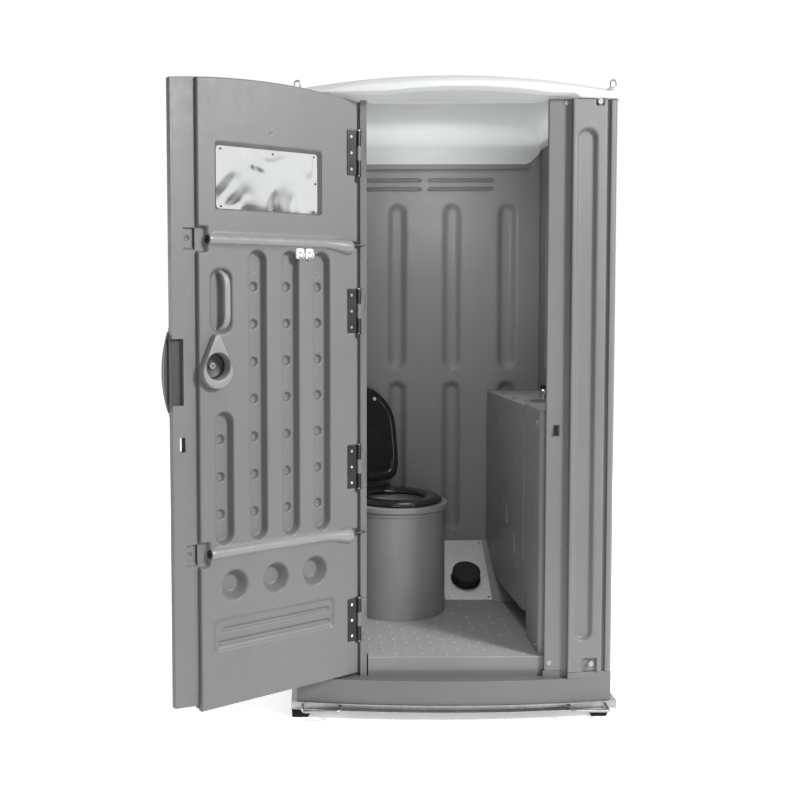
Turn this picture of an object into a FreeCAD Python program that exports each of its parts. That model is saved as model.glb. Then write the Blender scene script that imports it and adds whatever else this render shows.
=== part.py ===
import FreeCAD, Part
import os
import math
import Sketcher

# Portable toilet cabin. Millimetres, +Z up. The front faces -Y, +X is to the
# right of somebody standing in front of it. The origin is on the ground, in
# the middle of the square footprint.

V = FreeCAD.Vector
doc = FreeCAD.newDocument("portable_toilet_cabin")

# ---------------------------------------------------------------- sizes
SIZES = [
    ("half_width", 550), ("half_depth", 550), ("front_bow", 50),
    ("skid_height", 34), ("frame_height", 27), ("steel", 3),
    ("tray_bottom", 61), ("sill_top", 144), ("ledge_top", 165), ("floor_top", 212),
    ("tray_wall", 12),
    ("wall_inner", 505), ("back_inner", 490), ("sheet", 5), ("rib_depth", 30),
    ("rib_width", 75), ("wall_top", 2143), ("wall_front", -470),
    ("post_sheet", 6),
    ("roof_overhang", 25), ("roof_crown", 2300), ("roof_sheet", 5),
    ("roof_radius_x", 3170), ("roof_radius_y", 1785),
    ("skirt_x", 498), ("skirt_rear", 485), ("skirt_rear_z", 2058),
    ("lip_low", 2156), ("lip_high", 2175),
    ("hinge_x", -332), ("hinge_y", -540), ("open_angle", 144),
    ("panel_width", 632), ("flange_edge", 718), ("door_bottom", 152),
    ("door_top_low", 2141), ("door_top_high", 2167),
    ("face_w", -3), ("flange_w", -20), ("split_w", -24), ("door_sheet", 4),
    ("bow_hinge", -30), ("bow_mid", -60), ("bow_free", -42),
    ("hinge_first", 348), ("hinge_pitch", 538.5), ("hinge_length", 150),
    ("pin_radius", 4), ("knuckle_radius", 7), ("pin_clearance", 0.05),
    ("leaf", 2.5),
    ("groove_width", 70), ("groove_depth", 12), ("groove_top", 1624), ("groove_bottom", 682),
    ("groove_short_top", 1108), ("groove_a", 413), ("groove_b", 284), ("groove_c", 156),
    ("groove_d", 543), ("dimple_radius", 11),
    ("mirror_width", 392), ("mirror_height", 196), ("mirror_u", 367), ("mirror_z", 1845),
    ("closer_high", 1652), ("closer_low", 657), ("closer_radius", 16), ("closer_bore", 10),
    ("closer_start", 50), ("closer_end", 590),
    ("cup_radius", 48), ("cup_z", 547), ("cup_pitch", 160), ("cup_u", 346),
    ("latch_u", 577), ("latch_z", 1255), ("latch_width", 73), ("latch_depth", 46),
    ("latch_cup", 44), ("spindle_radius", 8),
    ("drum_x", -155), ("drum_y", 95), ("drum_radius", 198), ("drum_top", 632),
    ("tank_sheet", 5), ("ramp_foot", 180), ("ramp_back", 485), ("ramp_top", 408),
    ("rim_radius", 208), ("rim_top", 656), ("rim_hole", 150),
    ("seat_angle", 27), ("seat_radius", 185), ("seat_reach", 250), ("seat_thick", 18),
    ("seat_low", 658), ("seat_axis", 670), ("lid_thick", 9), ("lid_open", 100),
    ("lug_bore", 5),
    ("pump_x", 158), ("pump_y", 288), ("pump_radius", 58), ("pump_height", 42),
    ("unit_front", -516), ("unit_split", -231), ("unit_left", 301), ("unit_rear_left", 275),
    ("unit_right", 504), ("unit_top", 1070), ("unit_low", 291),
    ("screw_radius", 5), ("bolt_radius", 9), ("anchor_radius", 6), ("anchor_x", 524), ("anchor_y", 440),
]
sheet = doc.addObject("Spreadsheet::Sheet", "Sizes")
VAL = {}
for row, (name, value) in enumerate(SIZES):
    sheet.set("A%d" % (row + 1), name)
    sheet.set("B%d" % (row + 1), str(value))
    sheet.setAlias("B%d" % (row + 1), name)
    VAL[name] = float(value)
doc.recompute()


class Q:
    """A size: its value now, and the expression that binds it to the sheet."""

    def __init__(self, v, e):
        self.v = float(v)
        self.e = e

    @staticmethod
    def of(a):
        return a if isinstance(a, Q) else Q(a, "%.6g" % a if a >= 0 else "(%.6g)" % a)

    def __add__(self, o):
        o = Q.of(o)
        return Q(self.v + o.v, "(%s + %s)" % (self.e, o.e))

    def __radd__(self, o):
        return Q.of(o) + self

    def __sub__(self, o):
        o = Q.of(o)
        return Q(self.v - o.v, "(%s - %s)" % (self.e, o.e))

    def __rsub__(self, o):
        return Q.of(o) - self

    def __mul__(self, o):
        o = Q.of(o)
        return Q(self.v * o.v, "(%s * %s)" % (self.e, o.e))

    def __rmul__(self, o):
        return Q.of(o) * self

    def __truediv__(self, o):
        o = Q.of(o)
        return Q(self.v / o.v, "(%s / %s)" % (self.e, o.e))

    def __neg__(self):
        return Q(-self.v, "(0 - %s)" % self.e)


def S(name):
    return Q(VAL[name], "Sizes." + name)


def num(a):
    return a.v if isinstance(a, Q) else float(a)


def bind(obj, prop, a):
    if isinstance(a, Q) and "Sizes." in a.e:
        obj.setExpression(prop, a.e)
    return num(a)


NODES = []
LIVE = []      # every object made, for the final state check


def made(obj):
    LIVE.append(obj)
    return obj


def node(obj, label):
    obj.Label = label
    NODES.append((label, obj))
    return obj


def move(obj, pos, ang=None):
    """Placement by expressions. ang is (axis, degrees)."""
    p = [num(a) for a in pos]
    rot = FreeCAD.Rotation()
    if ang is not None:
        rot = FreeCAD.Rotation(V(*ang[0]), num(ang[1]))
    obj.Placement = FreeCAD.Placement(V(*p), rot)
    for k, a in zip("xyz", pos):
        bind(obj, "Placement.Base." + k, a)
    if ang is not None and isinstance(ang[1], Q):
        obj.setExpression("Placement.Rotation.Angle", ang[1].e)
    return obj


def box(lo, hi, ang=None):
    o = made(doc.addObject("Part::Box", "Block"))
    for prop, a, b in zip(("Length", "Width", "Height"), lo, hi):
        d = Q.of(b) - Q.of(a)
        setattr(o, prop, d.v)
        bind(o, prop, d)
    move(o, lo, ang)
    return o


AX = {"z": None, "x": ((0, 1, 0), 90), "y": ((1, 0, 0), -90)}


def cyl(r, length, base, axis="z", ang=None):
    """A cylinder from base along +axis."""
    o = made(doc.addObject("Part::Cylinder", "Rod"))
    o.Radius = num(r)
    bind(o, "Radius", r)
    o.Height = num(length)
    bind(o, "Height", length)
    move(o, base, AX[axis] if ang is None else ang)
    return o


def cone(r1, r2, length, base, axis="z"):
    o = made(doc.addObject("Part::Cone", "Taper"))
    o.Radius1, o.Radius2, o.Height = num(r1), num(r2), num(length)
    bind(o, "Radius1", r1)
    bind(o, "Radius2", r2)
    bind(o, "Height", length)
    move(o, base, AX[axis])
    return o


def torus(R, r, base, axis="z"):
    o = made(doc.addObject("Part::Torus", "Ring"))
    o.Radius1, o.Radius2 = num(R), num(r)
    bind(o, "Radius1", R)
    bind(o, "Radius2", r)
    move(o, base, AX[axis])
    return o


def fuse(*parts):
    parts = [p for p in parts if p is not None]
    if len(parts) == 1:
        return parts[0]
    o = made(doc.addObject("Part::MultiFuse", "Union"))
    o.Shapes = list(parts)
    o.Refine = True
    return o


def cut(a, *tools):
    t = fuse(*tools) if len(tools) > 1 else tools[0]
    o = made(doc.addObject("Part::Cut", "Cutaway"))
    o.Base, o.Tool = a, t
    o.Refine = True
    return o


def common(a, b):
    o = made(doc.addObject("Part::MultiCommon", "Overlap"))
    o.Shapes = [a, b]
    return o


def group(*parts):
    """Separate solids kept side by side in one piece."""
    o = made(doc.addObject("Part::Compound", "Group"))
    o.Links = list(parts)
    return o


def sketch_loops(sk, loops):
    """Closed loops of vertices. A vertex is (x, y) or (x, y, (mx, my)), where
    the middle point makes the side that starts there an arc. Every vertex and
    every middle point is held by two dimensions from the origin."""
    for loop in loops:
        if loop[0] == "circle":
            _, cx, cy, r = loop
            g = sk.addGeometry(Part.Circle(V(num(cx), num(cy), 0), V(0, 0, 1), num(r)), False)
            i = sk.addConstraint(Sketcher.Constraint("Radius", g, num(r)))
            bind(sk, "Constraints[%d]" % i, r)
            for kind, c in (("DistanceX", cx), ("DistanceY", cy)):
                i = sk.addConstraint(Sketcher.Constraint(kind, -1, 1, g, 3, num(c)))
                bind(sk, "Constraints[%d]" % i, c)
            continue
        # an arc is drawn as two arcs that meet in its middle point and share one centre
        ends, pairs = [], []
        for k, a in enumerate(loop):
            b = loop[(k + 1) % len(loop)]
            if len(a) > 2:
                pa, pm, pb = [V(num(q[0]), num(q[1]), 0) for q in (a, a[2], b)]
                c = Part.Arc(pa, pm, pb).toShape().Curve.Center
                left = (pm - pa).cross(pb - pm).z > 0      # turns to the left, so it runs anticlockwise
                for p0, p1 in ((pa, pm), (pm, pb)):
                    q0, q1 = (p0, p1) if left else (p1, p0)
                    t0 = math.atan2(q0.y - c.y, q0.x - c.x)
                    t1 = math.atan2(q1.y - c.y, q1.x - c.x)
                    if t1 < t0:
                        t1 += 2 * math.pi
                    arc = Part.ArcOfCircle(Part.Circle(c, V(0, 0, 1), (pm - c).Length), t0, t1)
                    ends.append((a if p0 is pa else a[2], p0, arc))
                pairs.append(len(ends) - 2)
            else:
                pa, pb = V(num(a[0]), num(a[1]), 0), V(num(b[0]), num(b[1]), 0)
                ends.append((a, pa, Part.LineSegment(pa, pb)))
        ids, start = [], []
        for vert, pa, curve in ends:
            g = sk.addGeometry(curve, False)
            ids.append(g)
            start.append(1 if sk.Geometry[g].StartPoint.distanceToPoint(pa) < 1e-6 else 2)
        n = len(ends)
        for k in range(n):
            j = (k + 1) % n
            sk.addConstraint(Sketcher.Constraint("Coincident", ids[k], 3 - start[k], ids[j], start[j]))
        for k in range(n):
            for kind, c in (("DistanceX", ends[k][0][0]), ("DistanceY", ends[k][0][1])):
                i = sk.addConstraint(Sketcher.Constraint(kind, -1, 1, ids[k], start[k], num(c)))
                bind(sk, "Constraints[%d]" % i, c)
        for k in pairs:
            sk.addConstraint(Sketcher.Constraint("Coincident", ids[k], 3, ids[k + 1], 3))


PLANES = {"xy": "XY_Plane", "xz": "XZ_Plane", "yz": "YZ_Plane"}


class Piece:
    """A body with sketches, pads and pockets."""

    def __init__(self, label=None):
        self.b = doc.addObject("PartDesign::Body", "Body")
        made(self.b)
        if label:
            node(self.b, label)

    def sketch(self, plane, loops, offset=0):
        sk = self.b.newObject("Sketcher::SketchObject", "Sketch")
        role = PLANES[plane]
        feats = [f for f in self.b.Origin.OriginFeatures if f.Role == role]
        sk.AttachmentSupport = [(feats[0], "")]
        sk.MapMode = "FlatFace"
        # along the plane's normal: xy +Z, xz -Y, yz +X
        sk.AttachmentOffset = FreeCAD.Placement(V(0, 0, num(offset)), FreeCAD.Rotation())
        bind(sk, "AttachmentOffset.Base.z", offset)
        sketch_loops(sk, loops)
        made(sk)
        doc.recompute([sk])
        return sk

    def pad(self, plane, loops, lo, hi):
        """Material from lo to hi along +Z, +Y or +X."""
        neg = plane == "xz"
        start = -Q.of(hi) if neg else Q.of(lo)
        sk = self.sketch(plane, loops, start)
        f = self.b.newObject("PartDesign::Pad", "Pad")
        f.Profile = sk
        d = Q.of(hi) - Q.of(lo)
        f.Length = d.v
        bind(f, "Length", d)
        made(f)
        doc.recompute([f, self.b])
        return f

    def pocket(self, plane, loops, lo, hi, must=True):
        """Takes away from lo to hi along +Z, +Y or +X."""
        neg = plane == "xz"
        # a pocket cuts against the sketch's normal, so it starts at the far end
        start = -Q.of(lo) if neg else Q.of(hi)
        sk = self.sketch(plane, loops, start)
        before = self.b.Shape.Volume
        f = self.b.newObject("PartDesign::Pocket", "Pocket")
        f.Profile = sk
        d = Q.of(hi) - Q.of(lo)
        f.Length = d.v
        bind(f, "Length", d)
        made(f)
        doc.recompute([f, self.b])
        if must and self.b.Shape.Volume > before - 1:
            raise RuntimeError("a pocket of %s took nothing away: %s %s" % (self.b.Label, before, self.b.Shape.Volume))
        return f


def rect(x0, y0, x1, y1):
    return [(x0, y0), (x1, y0), (x1, y1), (x0, y1)]


def rrect(x0, y0, x1, y1, r):
    """A rectangle with round corners."""
    x0, y0, x1, y1 = Q.of(x0), Q.of(y0), Q.of(x1), Q.of(y1)
    k = r * (1 - math.sqrt(0.5))
    return [
        (x0 + r, y0), (x1 - r, y0, (x1 - k, y0 + k)),
        (x1, y0 + r), (x1, y1 - r, (x1 - k, y1 - k)),
        (x1 - r, y1), (x0 + r, y1, (x0 + k, y1 - k)),
        (x0, y1 - r), (x0, y0 + r, (x0 + k, y0 + k)),
    ]


def slot(cx, z0, z1, w):
    """An upright capsule, w wide, from z0 to z1."""
    cx, z0, z1, w = Q.of(cx), Q.of(z0), Q.of(z1), Q.of(w)
    r = w / 2
    return [
        (cx - r, z0 + r, (cx, z0)), (cx + r, z0 + r),
        (cx + r, z1 - r, (cx, z1)), (cx - r, z1 - r),
    ]


def flat_slot(x0, x1, cz, h):
    x0, x1, cz, h = Q.of(x0), Q.of(x1), Q.of(cz), Q.of(h)
    r = h / 2
    return [
        (x0 + r, cz - r), (x1 - r, cz - r, (x1, cz)),
        (x1 - r, cz + r), (x0 + r, cz + r, (x0, cz)),
    ]


def bowed(hx, hy_front, hy_back, bow):
    """A plan outline with a front edge that bulges forward by bow."""
    hx, f, b = Q.of(hx), Q.of(hy_front), Q.of(hy_back)
    return [(-hx, -f, (Q.of(0), -f - bow)), (hx, -f), (hx, b), (-hx, b)]


HW, HD, BOW = S("half_width"), S("half_depth"), S("front_bow")

# ---------------------------------------------------------------- skids
# two black runners, each with anchor holes that go right through


def skid(label, top0, top1, low0, low1, hole):
    p = Piece(label)
    p.pad("xz", [[(low0, 0), (low1, 0), (top1, S("skid_height")), (top0, S("skid_height"))]],
          -HD + 2, HD - 2)
    p.pocket("xy", [["circle", hole, -S("anchor_y"), S("anchor_radius")],
                    ["circle", hole, S("anchor_y"), S("anchor_radius")]], 0, S("skid_height"))


skid("skid_left", -570, -494, -567, -511, -S("anchor_x"))
skid("skid_right", 474, 552, 484, 537, S("anchor_x"))

# ---------------------------------------------------------------- steel frame
# a ring of galvanised channel, open to the outside, with two cross members
z0 = S("skid_height")
z1 = z0 + S("frame_height")
ST = S("steel")
p = Piece("base_frame")
inner = bowed(HW - 20, HD - 20, HD - 20, BOW)
p.pad("xy", [bowed(HW + 20, HD + 8, HD + 8, BOW), inner], z0, z0 + ST)
p.pad("xy", [bowed(HW - 17, HD - 17, HD - 17, BOW), inner], z0, z1)
p.pad("xy", [bowed(HW + 20, HD + 8, HD + 8, BOW), inner], z1 - ST, z1)
for s in (-1, 1):
    for t in (-1, 1):
        x0, x1 = (-570, -380) if s < 0 else (380, 570)
        y0, y1 = (-558, -500) if t < 0 else (500, 558)
        p.pad("xy", [rect(x0, y0, x1, y1)], z0, z1)
p.pad("xy", [rect(-HW + 19, -250, HW - 19, -200)], z0, z1)
p.pad("xy", [rect(-HW + 19, 200, HW - 19, 250)], z0, z1)


def rod(points, r, bend):
    """A round bar along a path of straight runs joined by arcs."""
    pts = [V(*[num(c) for c in q]) for q in points]
    edges, last = [], pts[0]
    for i in range(1, len(pts) - 1):
        a = (pts[i - 1] - pts[i]).normalize()
        b = (pts[i + 1] - pts[i]).normalize()
        half = a.getAngle(b) / 2
        back = bend / math.tan(half)
        pa, pb = pts[i] + a * back, pts[i] + b * back
        mid = (a + b).normalize()
        c = pts[i] + mid * (bend / math.sin(half))
        pm = c - mid * bend
        edges.append(Part.LineSegment(last, pa).toShape())
        edges.append(Part.Arc(pa, pm, pb).toShape())
        last = pb
    edges.append(Part.LineSegment(last, pts[-1]).toShape())
    wire = Part.Wire(edges)
    t = (pts[1] - pts[0]).normalize()
    prof = Part.Wire([Part.Circle(pts[0], t, r).toShape()])
    return wire.makePipeShell([prof], True, False)


def feature(shape, label=None):
    o = made(doc.addObject("Part::Feature", "Bent"))
    o.Shape = shape
    if label:
        node(o, label)
    return o


loops = []
for s in (-1, 1):
    for t in (-1, 1):
        y_end, y_out = (-558, -622) if t < 0 else (558, 612)
        loops.append(rod([(s * 530, y_end, 47.5), (s * 530, y_out, 47.5), (s * 400, y_out, 47.5), (s * 400, y_end, 47.5)], 5, 14))
tie = feature(Part.makeCompound(loops))
node(tie, "tie_down_loops")

# ---------------------------------------------------------------- floor tray
TB, SILL, LEDGE, FLOOR = S("tray_bottom"), S("sill_top"), S("ledge_top"), S("floor_top")
TW = S("tray_wall")
p = Piece("floor_tray")
p.pad("xy", [bowed(HW, HD, HD, BOW)], TB, SILL)
p.pad("xy", [[(-HW, -468), (-503, -468), (-503, -498), (-300, -498), (-300, -538), (310, -538), (310, -556), (392, -556), (392, -579), (HW, -HD),
              (HW, HD), (-HW, HD)]], SILL, LEDGE)
p.pad("xy", [[(-498, -498), (-300, -498), (-300, -538), (498, -538), (498, 484), (-498, 484)]], LEDGE, FLOOR)
p.pocket("xy", [bowed(HW - TW, HD - TW, HD - TW, BOW)], TB, SILL - TW)
p.pocket("xy", [[(-486, -486), (-288, -486), (-288, -526), (486, -526), (486, 472), (-486, 472)]], TB, FLOOR - TW)

# ---------------------------------------------------------------- left hinge post
WT = S("wall_top")
HX, HY = S("hinge_x"), S("hinge_y")
face = HY + 3          # the strip that the jamb leaves lie in
back = HY + 34         # the set-back face beside it
PS = S("post_sheet")
XS = HX + 4.6
XE = HX + 27
p = Piece("hinge_post_left")
WF = S("wall_front")
p.pad("xy", [[(-S("wall_inner"), WF), (-HW + 5, WF), (-HW + 5, back), (XS, back), (XS, face), (XE, face), (XE, face + 37),
              (XE - PS, face + 37), (XE - PS, face + PS), (XS + PS, face + PS), (XS + PS, back + PS),
              (-HW + 5 + PS, back + PS), (-HW + 5 + PS, WF - PS), (-S("wall_inner"), WF - PS)]], SILL, WT)
for k in range(4):
    zc = S("hinge_first") + S("hinge_pitch") * k
    h = S("hinge_length") / 2 + 1
    p.pocket("xz", [rect(XS - 2, zc - h, XE + 2, zc + h)], face - 1, face + S("leaf"))
    p.pocket("xz", [rect(XS - 1, zc - h - 3, HX + 9, zc + h + 3)], face - 1, face + 28)

# ---------------------------------------------------------------- right front panel
# jamb, recess for the door's flange, raised panel with one long groove, corner column
p = Piece("latch_panel_right")
front = HY - 16        # the recess face
p.pad("xy", [[(314, front + 11), (314, front), (391, front), (391, -580), (512, -566), (512, -548), (524, -548),
              (524, -560), (540, -558), (550, -547), (550, WF), (S("wall_inner"), WF), (S("wall_inner"), WF - PS),
              (544, WF - PS), (544, -544), (537, -553), (530, -554), (530, -542), (506, -542),
              (506, -560), (397, -573), (397, front + PS), (320, front + PS), (320, front + 11)]], LEDGE, WT)
p.pad("xz", [slot(443, 273, 2047, 78)], -575, -555)
p.pocket("xz", [slot(443, 278, 2042, 68)], -590, -561)
p.pocket("xz", [rect(441, 165, 495, 214)], -590, -569.5)
p.pocket("xz", [rect(470, 2118, 500, 2143)], -590, -569)

# ---------------------------------------------------------------- side and back walls
# pans of one sheet: flanges all round point outwards, capsule ribs are pushed outwards
SH, RD = S("sheet"), S("rib_depth")


def wall(label, half, ribs, place, vents=(), z_low=None, z_high=None):
    """Built in its own frame: inner face on y=0, outwards is +y, x from -half to half."""
    zl, zh = z_low or LEDGE, z_high or WT
    p = Piece(label)
    p.pad("xz", [rect(-half, zl, half, zh)], 0, SH)
    p.pad("xz", [rect(-half, zl, half, zh), rect(-half + SH, zl + SH, half - SH, zh - SH)], 0, 39)
    rows = ((450, 1108), (1170, 1884))
    w = S("rib_width")
    p.pad("xz", [slot(x, a - 5, b + 5, w + 10) for x in ribs for a, b in rows], 0, RD + SH)
    p.pocket("xz", [slot(x, a, b, w) for x in ribs for a, b in rows], 0, RD)
    if vents:
        p.pocket("xz", [flat_slot(a, b, z, 12) for a, b, z in vents], 0, SH)
    move(p.b, *place)
    return p


B = S("back_inner")
vents = [(-298, -16, 1990), (16, 298, 1990), (-298, -16, 1952), (16, 298, 1952)]
wall("wall_back", S("wall_inner"), (-361, -120, 120, 361), ((0, B, 0),), vents)
side_half = (B - S("wall_front")) / 2
side_mid = (B + S("wall_front")) / 2
ribs = (-330, -110, 110, 330)
wall("wall_right", side_half, ribs, ((S("wall_inner"), side_mid, 0), ((0, 0, 1), -90)), [(-300, -16, 1990), (16, 300, 1990)])
wall("wall_left", side_half, ribs, ((-S("wall_inner"), side_mid, 0), ((0, 0, 1), 90)), [(-300, -16, 1990), (16, 300, 1990)])

for s, label in ((-1, "corner_post_rear_left"), (1, "corner_post_rear_right")):
    p = Piece(label)
    a, b = S("wall_inner"), Q.of(544)
    c, d = B, Q.of(544)
    if s > 0:
        out = [(a, c), (b, c), (b, d - 26, (b - 7.6, d - 7.6)), (b - 26, d), (a, d)]
        inn = [(a + 4, c + 4), (b - 4, c + 4), (b - 4, d - 26, (b - 10.4, d - 10.4)), (b - 26, d - 4), (a + 4, d - 4)]
    else:
        out = [(-b, c), (-a, c), (-a, d), (-b + 26, d, (-b + 7.6, d - 7.6)), (-b, d - 26)]
        inn = [(-b + 4, c + 4), (-a - 4, c + 4), (-a - 4, d - 4), (-b + 26, d - 4, (-b + 10.4, d - 10.4)), (-b + 4, d - 26)]
    p.pad("xy", [out, inn], LEDGE, WT)

# ---------------------------------------------------------------- roof
# a translucent dome: an overhanging rim, a ledge that lies on the walls, and a skirt
# that hangs inside them
RX, RY, RC, RS = S("roof_radius_x"), S("roof_radius_y"), S("roof_crown"), S("roof_sheet")
OV = S("roof_overhang")


def dome(drop, label):
    """The solid under the dome's surface, lowered by drop."""
    body = Piece()
    sk = body.sketch("yz", [[(-650, 1900), (650, 1900),
                             (650, RC.v - drop - 650 ** 2 / (2 * RY.v), (0, RC.v - drop)),
                             (-650, RC.v - drop - 650 ** 2 / (2 * RY.v))]])
    f = body.b.newObject("PartDesign::Revolution", "Vault")
    f.Profile = sk
    # the axis runs along Y, far under the cabin, so the crown's curve across is wider
    ax = body.b.newObject("PartDesign::Line", "VaultAxis")
    ax.Placement = FreeCAD.Placement(V(0, 0, RC.v - RX.v), FreeCAD.Rotation(V(0, 0, 1), V(0, 1, 0)))
    made(ax)
    f.ReferenceAxis = (ax, [""])
    f.Angle = 26
    f.Midplane = True
    made(f)
    doc.recompute()
    return body.b


def outline(inset, lo, hi):
    q = Piece()
    q.pad("xy", [bowed(HW + OV - inset, HD + OV - 5 - inset, HD + OV - 5 - inset, BOW)], lo, hi)
    return q.b


LL, LH = S("lip_low"), S("lip_high")


def gap(i):
    """The arched gap that the door's top passes through, grown by i."""
    q = Piece()
    q.pad("xz", [[(-525 - i, 2100), (397 + i, 2100), (397 + i, LL + i), (314, LL + i, (12, LH + i)), (-290, 2161 + i),
                  (-525 - i, 2161 + i)]], -700, -536 + i)
    q.pad("xz", [rect(-525 - i, 2100, -300 + i, 2161 + i)], -600, -508 + i)
    return q.b


shell = cut(cut(common(outline(0, WT, 2400), dome(0, "outer")), gap(0)),
            cut(common(outline(5, WT + RS, 2390), dome(5, "inner")), gap(5)),
            box((-S("skirt_x"), -531, WT - 1), (S("skirt_x"), S("skirt_rear"), WT + RS + 1)))
# the skirt: front, sides and rear, up to the dome
skirt = Piece()
SX, SR = S("skirt_x"), S("skirt_rear")
skirt.pad("xy", [rect(-SX, -531, SX, SR), rect(-SX + RS, -526, SX - RS, SR - RS)], WT, 2400)
skirt.pad("xz", [[(-SX + 45, S("skirt_rear_z")), (SX - 45, S("skirt_rear_z")), (SX, 2106), (SX, WT + 2),
                  (-SX, WT + 2), (-SX, 2106)]], SR - RS, SR)
skirt.pad("yz", [rect(-490, 2112, SR - RS, WT + 2)], -SX, -SX + RS)
skirt.pad("yz", [rect(-490, 2112, SR - RS, WT + 2)], SX - RS, SX)
skirt.pad("xz", [rect(-303, 2131, 312, WT + 2)], -531, -526)
roof = fuse(shell, cut(common(skirt.b, dome(2, "skirt")), gap(0)))
# flat bosses for the lifting eyes, one over each corner
EYE = [(sx * 540, sy) for sx in (-1, 1) for sy in (-530, 535)]
bosses = [cyl(24, 37, (x, y, WT + 2)) for x, y in EYE]
roof = fuse(roof, *bosses)
roof = cut(roof, *[cyl(5, 80, (x, y, WT - 10)) for x, y in EYE])
node(roof, "roof")

eyes = []
zt = VAL["wall_top"] + 39
for x, y in EYE:
    ring = feature(rod([(x - 9.5, y, zt + 1), (x - 9.5, y, zt + 29), (x + 9.5, y, zt + 29), (x + 9.5, y, zt + 1)], 3.5, 9))
    eyes.append(fuse(cyl(4, 33, (x, y, WT + 8)), cyl(16, 3, (x, y, WT + 39)), ring))
node(group(*eyes), "lifting_eyes")

# ---------------------------------------------------------------- bolts that hold the panels
# the round heads stand on the faces
bolts = [cyl(S("bolt_radius"), 2.5, (331, front - 2.5, 195), "y"), cyl(S("bolt_radius"), 6, (474, -569.5 - 6, 197), "y"),
         cyl(7, 2.5, (374, front - 2.5, 2128), "y"), cyl(S("bolt_radius"), 6, (485, -575, 2131), "y")]
for s in (-1, 1):
    for y in (-430, -140, 150, 440):
        bolts.append(cyl(S("bolt_radius"), 6, (544 if s > 0 else -550, y, 2125), "x"))
        bolts.append(cyl(S("bolt_radius"), 6, (544 if s > 0 else -550, y, 185), "x"))
for x in (-420, -240, 240, 420):
    bolts.append(cyl(S("bolt_radius"), 6, (x, B + 39, 2125), "y"))
    bolts.append(cyl(S("bolt_radius"), 6, (x, B + 39, 185), "y"))

# ---------------------------------------------------------------- the door
# Built closed and in its own frame: +X from the hinge axis to the free edge, +Y towards
# the room, the axis at 0,0. Then everything on it is swung open together.
DOOR = []
OPEN = -S("open_angle")


def on_door(o):
    """Swings a piece that was built in the door's frame out to the open pose."""
    if o.TypeId == "PartDesign::Body" or o.Placement.Base.Length < 1e-9:
        move(o, (HX, HY, 0), ((0, 0, 1), OPEN))
        return o
    return on_door(group(o))


PW, FE = S("panel_width"), S("flange_edge")
FW, GW, SW, DS = S("face_w"), S("flange_w"), S("split_w"), S("door_sheet")
BH, BM, BF = S("bow_hinge"), S("bow_mid"), S("bow_free")
ZB, TL, TH = S("door_bottom"), S("door_top_low"), S("door_top_high")


def door_solid(i):
    """The outer skin's block, shrunk by i on every side but the inner one."""
    q = Piece()
    mid = BM + i
    if i:
        # the hollow starts well in from the hinge, where the skin is thin
        loop = [(Q.of(60), SW - i), (PW + 2, SW - i), (PW + 2, GW - i), (FE - i, GW - i), (FE - i, BF + i, (FE / 2, mid)),
                (Q.of(60), BH - 4.4)]
    else:
        loop = [(Q.of(0), SW), (PW + 0.4, SW), (PW + 0.4, GW), (FE, GW), (FE, BF, (FE / 2, mid)), (Q.of(0), BH)]
    q.pad("xy", [loop], ZB + i, 2190)
    q.pocket("xz", [[(Q.of(0), TL - i, (FE / 2, TH - i)), (FE, TL - i), (FE + 20, TL - i - 2), (FE + 20, 2300),
                     (Q.of(-20), 2300), (Q.of(-20), TL - i - 2)]], -120, 20)
    if not i:
        q.pocket("xz", [[(-5, 140), (725, 140), (725, ZB + 27), (FE, ZB + 27), (PW + 8, ZB + 20), (PW - 6, ZB + 3), (FE / 2, ZB - 0.5), (-5, ZB - 0.5)]],
                 -120, 20, must=False)
    return q.b


outer, hollow = door_solid(0), door_solid(4)
# places where the skin is pushed in from the front
grip_cut = Piece()
grip_cut.pad("xz", [rect(679, 1134, FE + 2, 1342)], -36, 0)
grip_wall = Piece()
grip_wall.pad("xz", [rect(675, 1130, FE - 2, 1346)], -40, -18)
skin = cut(outer, cut(hollow, grip_wall.b))
# the flange steps back below the seam near its foot
skin = fuse(cut(skin, grip_cut.b, box((PW + 2, GW - 2, ZB - 20), (FE + 2, GW + 20, 215)), box((674, -100, 988), (694, 20, 1034)),
                cyl(S("spindle_radius") + S("pin_clearance"), 60, (S("latch_u"), -70, S("latch_z")), "y")),
            box((704, -46, 1100), (FE, -41, 1376)))
node(on_door(skin), "door_outer_skin")

# inner panel: a pan that stands off the skin, with everything pressed into it
q = Piece()
ZP = Q.of(155)


def panel_outline(i, r=10):
    """Front view of the panel: a bowed top, round bottom corners."""
    i = float(i)
    x0, x1 = 3 + i, PW - i
    return [(Q.of(x0), ZP + i), (x1, ZP + i), (x1, 2150 - i, (PW / 2 + 1.5, 2163 - i)), (Q.of(x0), 2143 - i)]


q.pad("xz", [panel_outline(0)], SW, FW)
q.pocket("xz", [panel_outline(4)], SW, FW - DS)
GDP, GWD = S("groove_depth"), S("groove_width")
GB, GT = S("groove_bottom"), S("groove_top")
grooves = [(S("groove_a"), GB, GT), (S("groove_b"), GB, GT), (S("groove_c"), GB, GT),
           (S("groove_d"), GB, S("groove_short_top"))]
MU, MZ, MW, MH = S("mirror_u"), S("mirror_z"), S("mirror_width"), S("mirror_height")
mirror_bed = rrect(MU - MW / 2 - 18, MZ - MH / 2 - 10, MU + MW / 2 + 18, MZ + MH / 2 + 12, 20)
mirror_back = rrect(MU - MW / 2 - 22, MZ - MH / 2 - 14, MU + MW / 2 + 22, MZ + MH / 2 + 16, 24)
louvre = [(Q.of(104), Q.of(338)), (Q.of(586), Q.of(338)), (Q.of(586), Q.of(444)), (Q.of(104), Q.of(444))]
louvre_back = [(Q.of(100), Q.of(334)), (Q.of(590), Q.of(334)), (Q.of(590), Q.of(448)), (Q.of(100), Q.of(448))]
CU, CZ, CP, CR = S("cup_u"), S("cup_z"), S("cup_pitch"), S("cup_radius")
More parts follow.
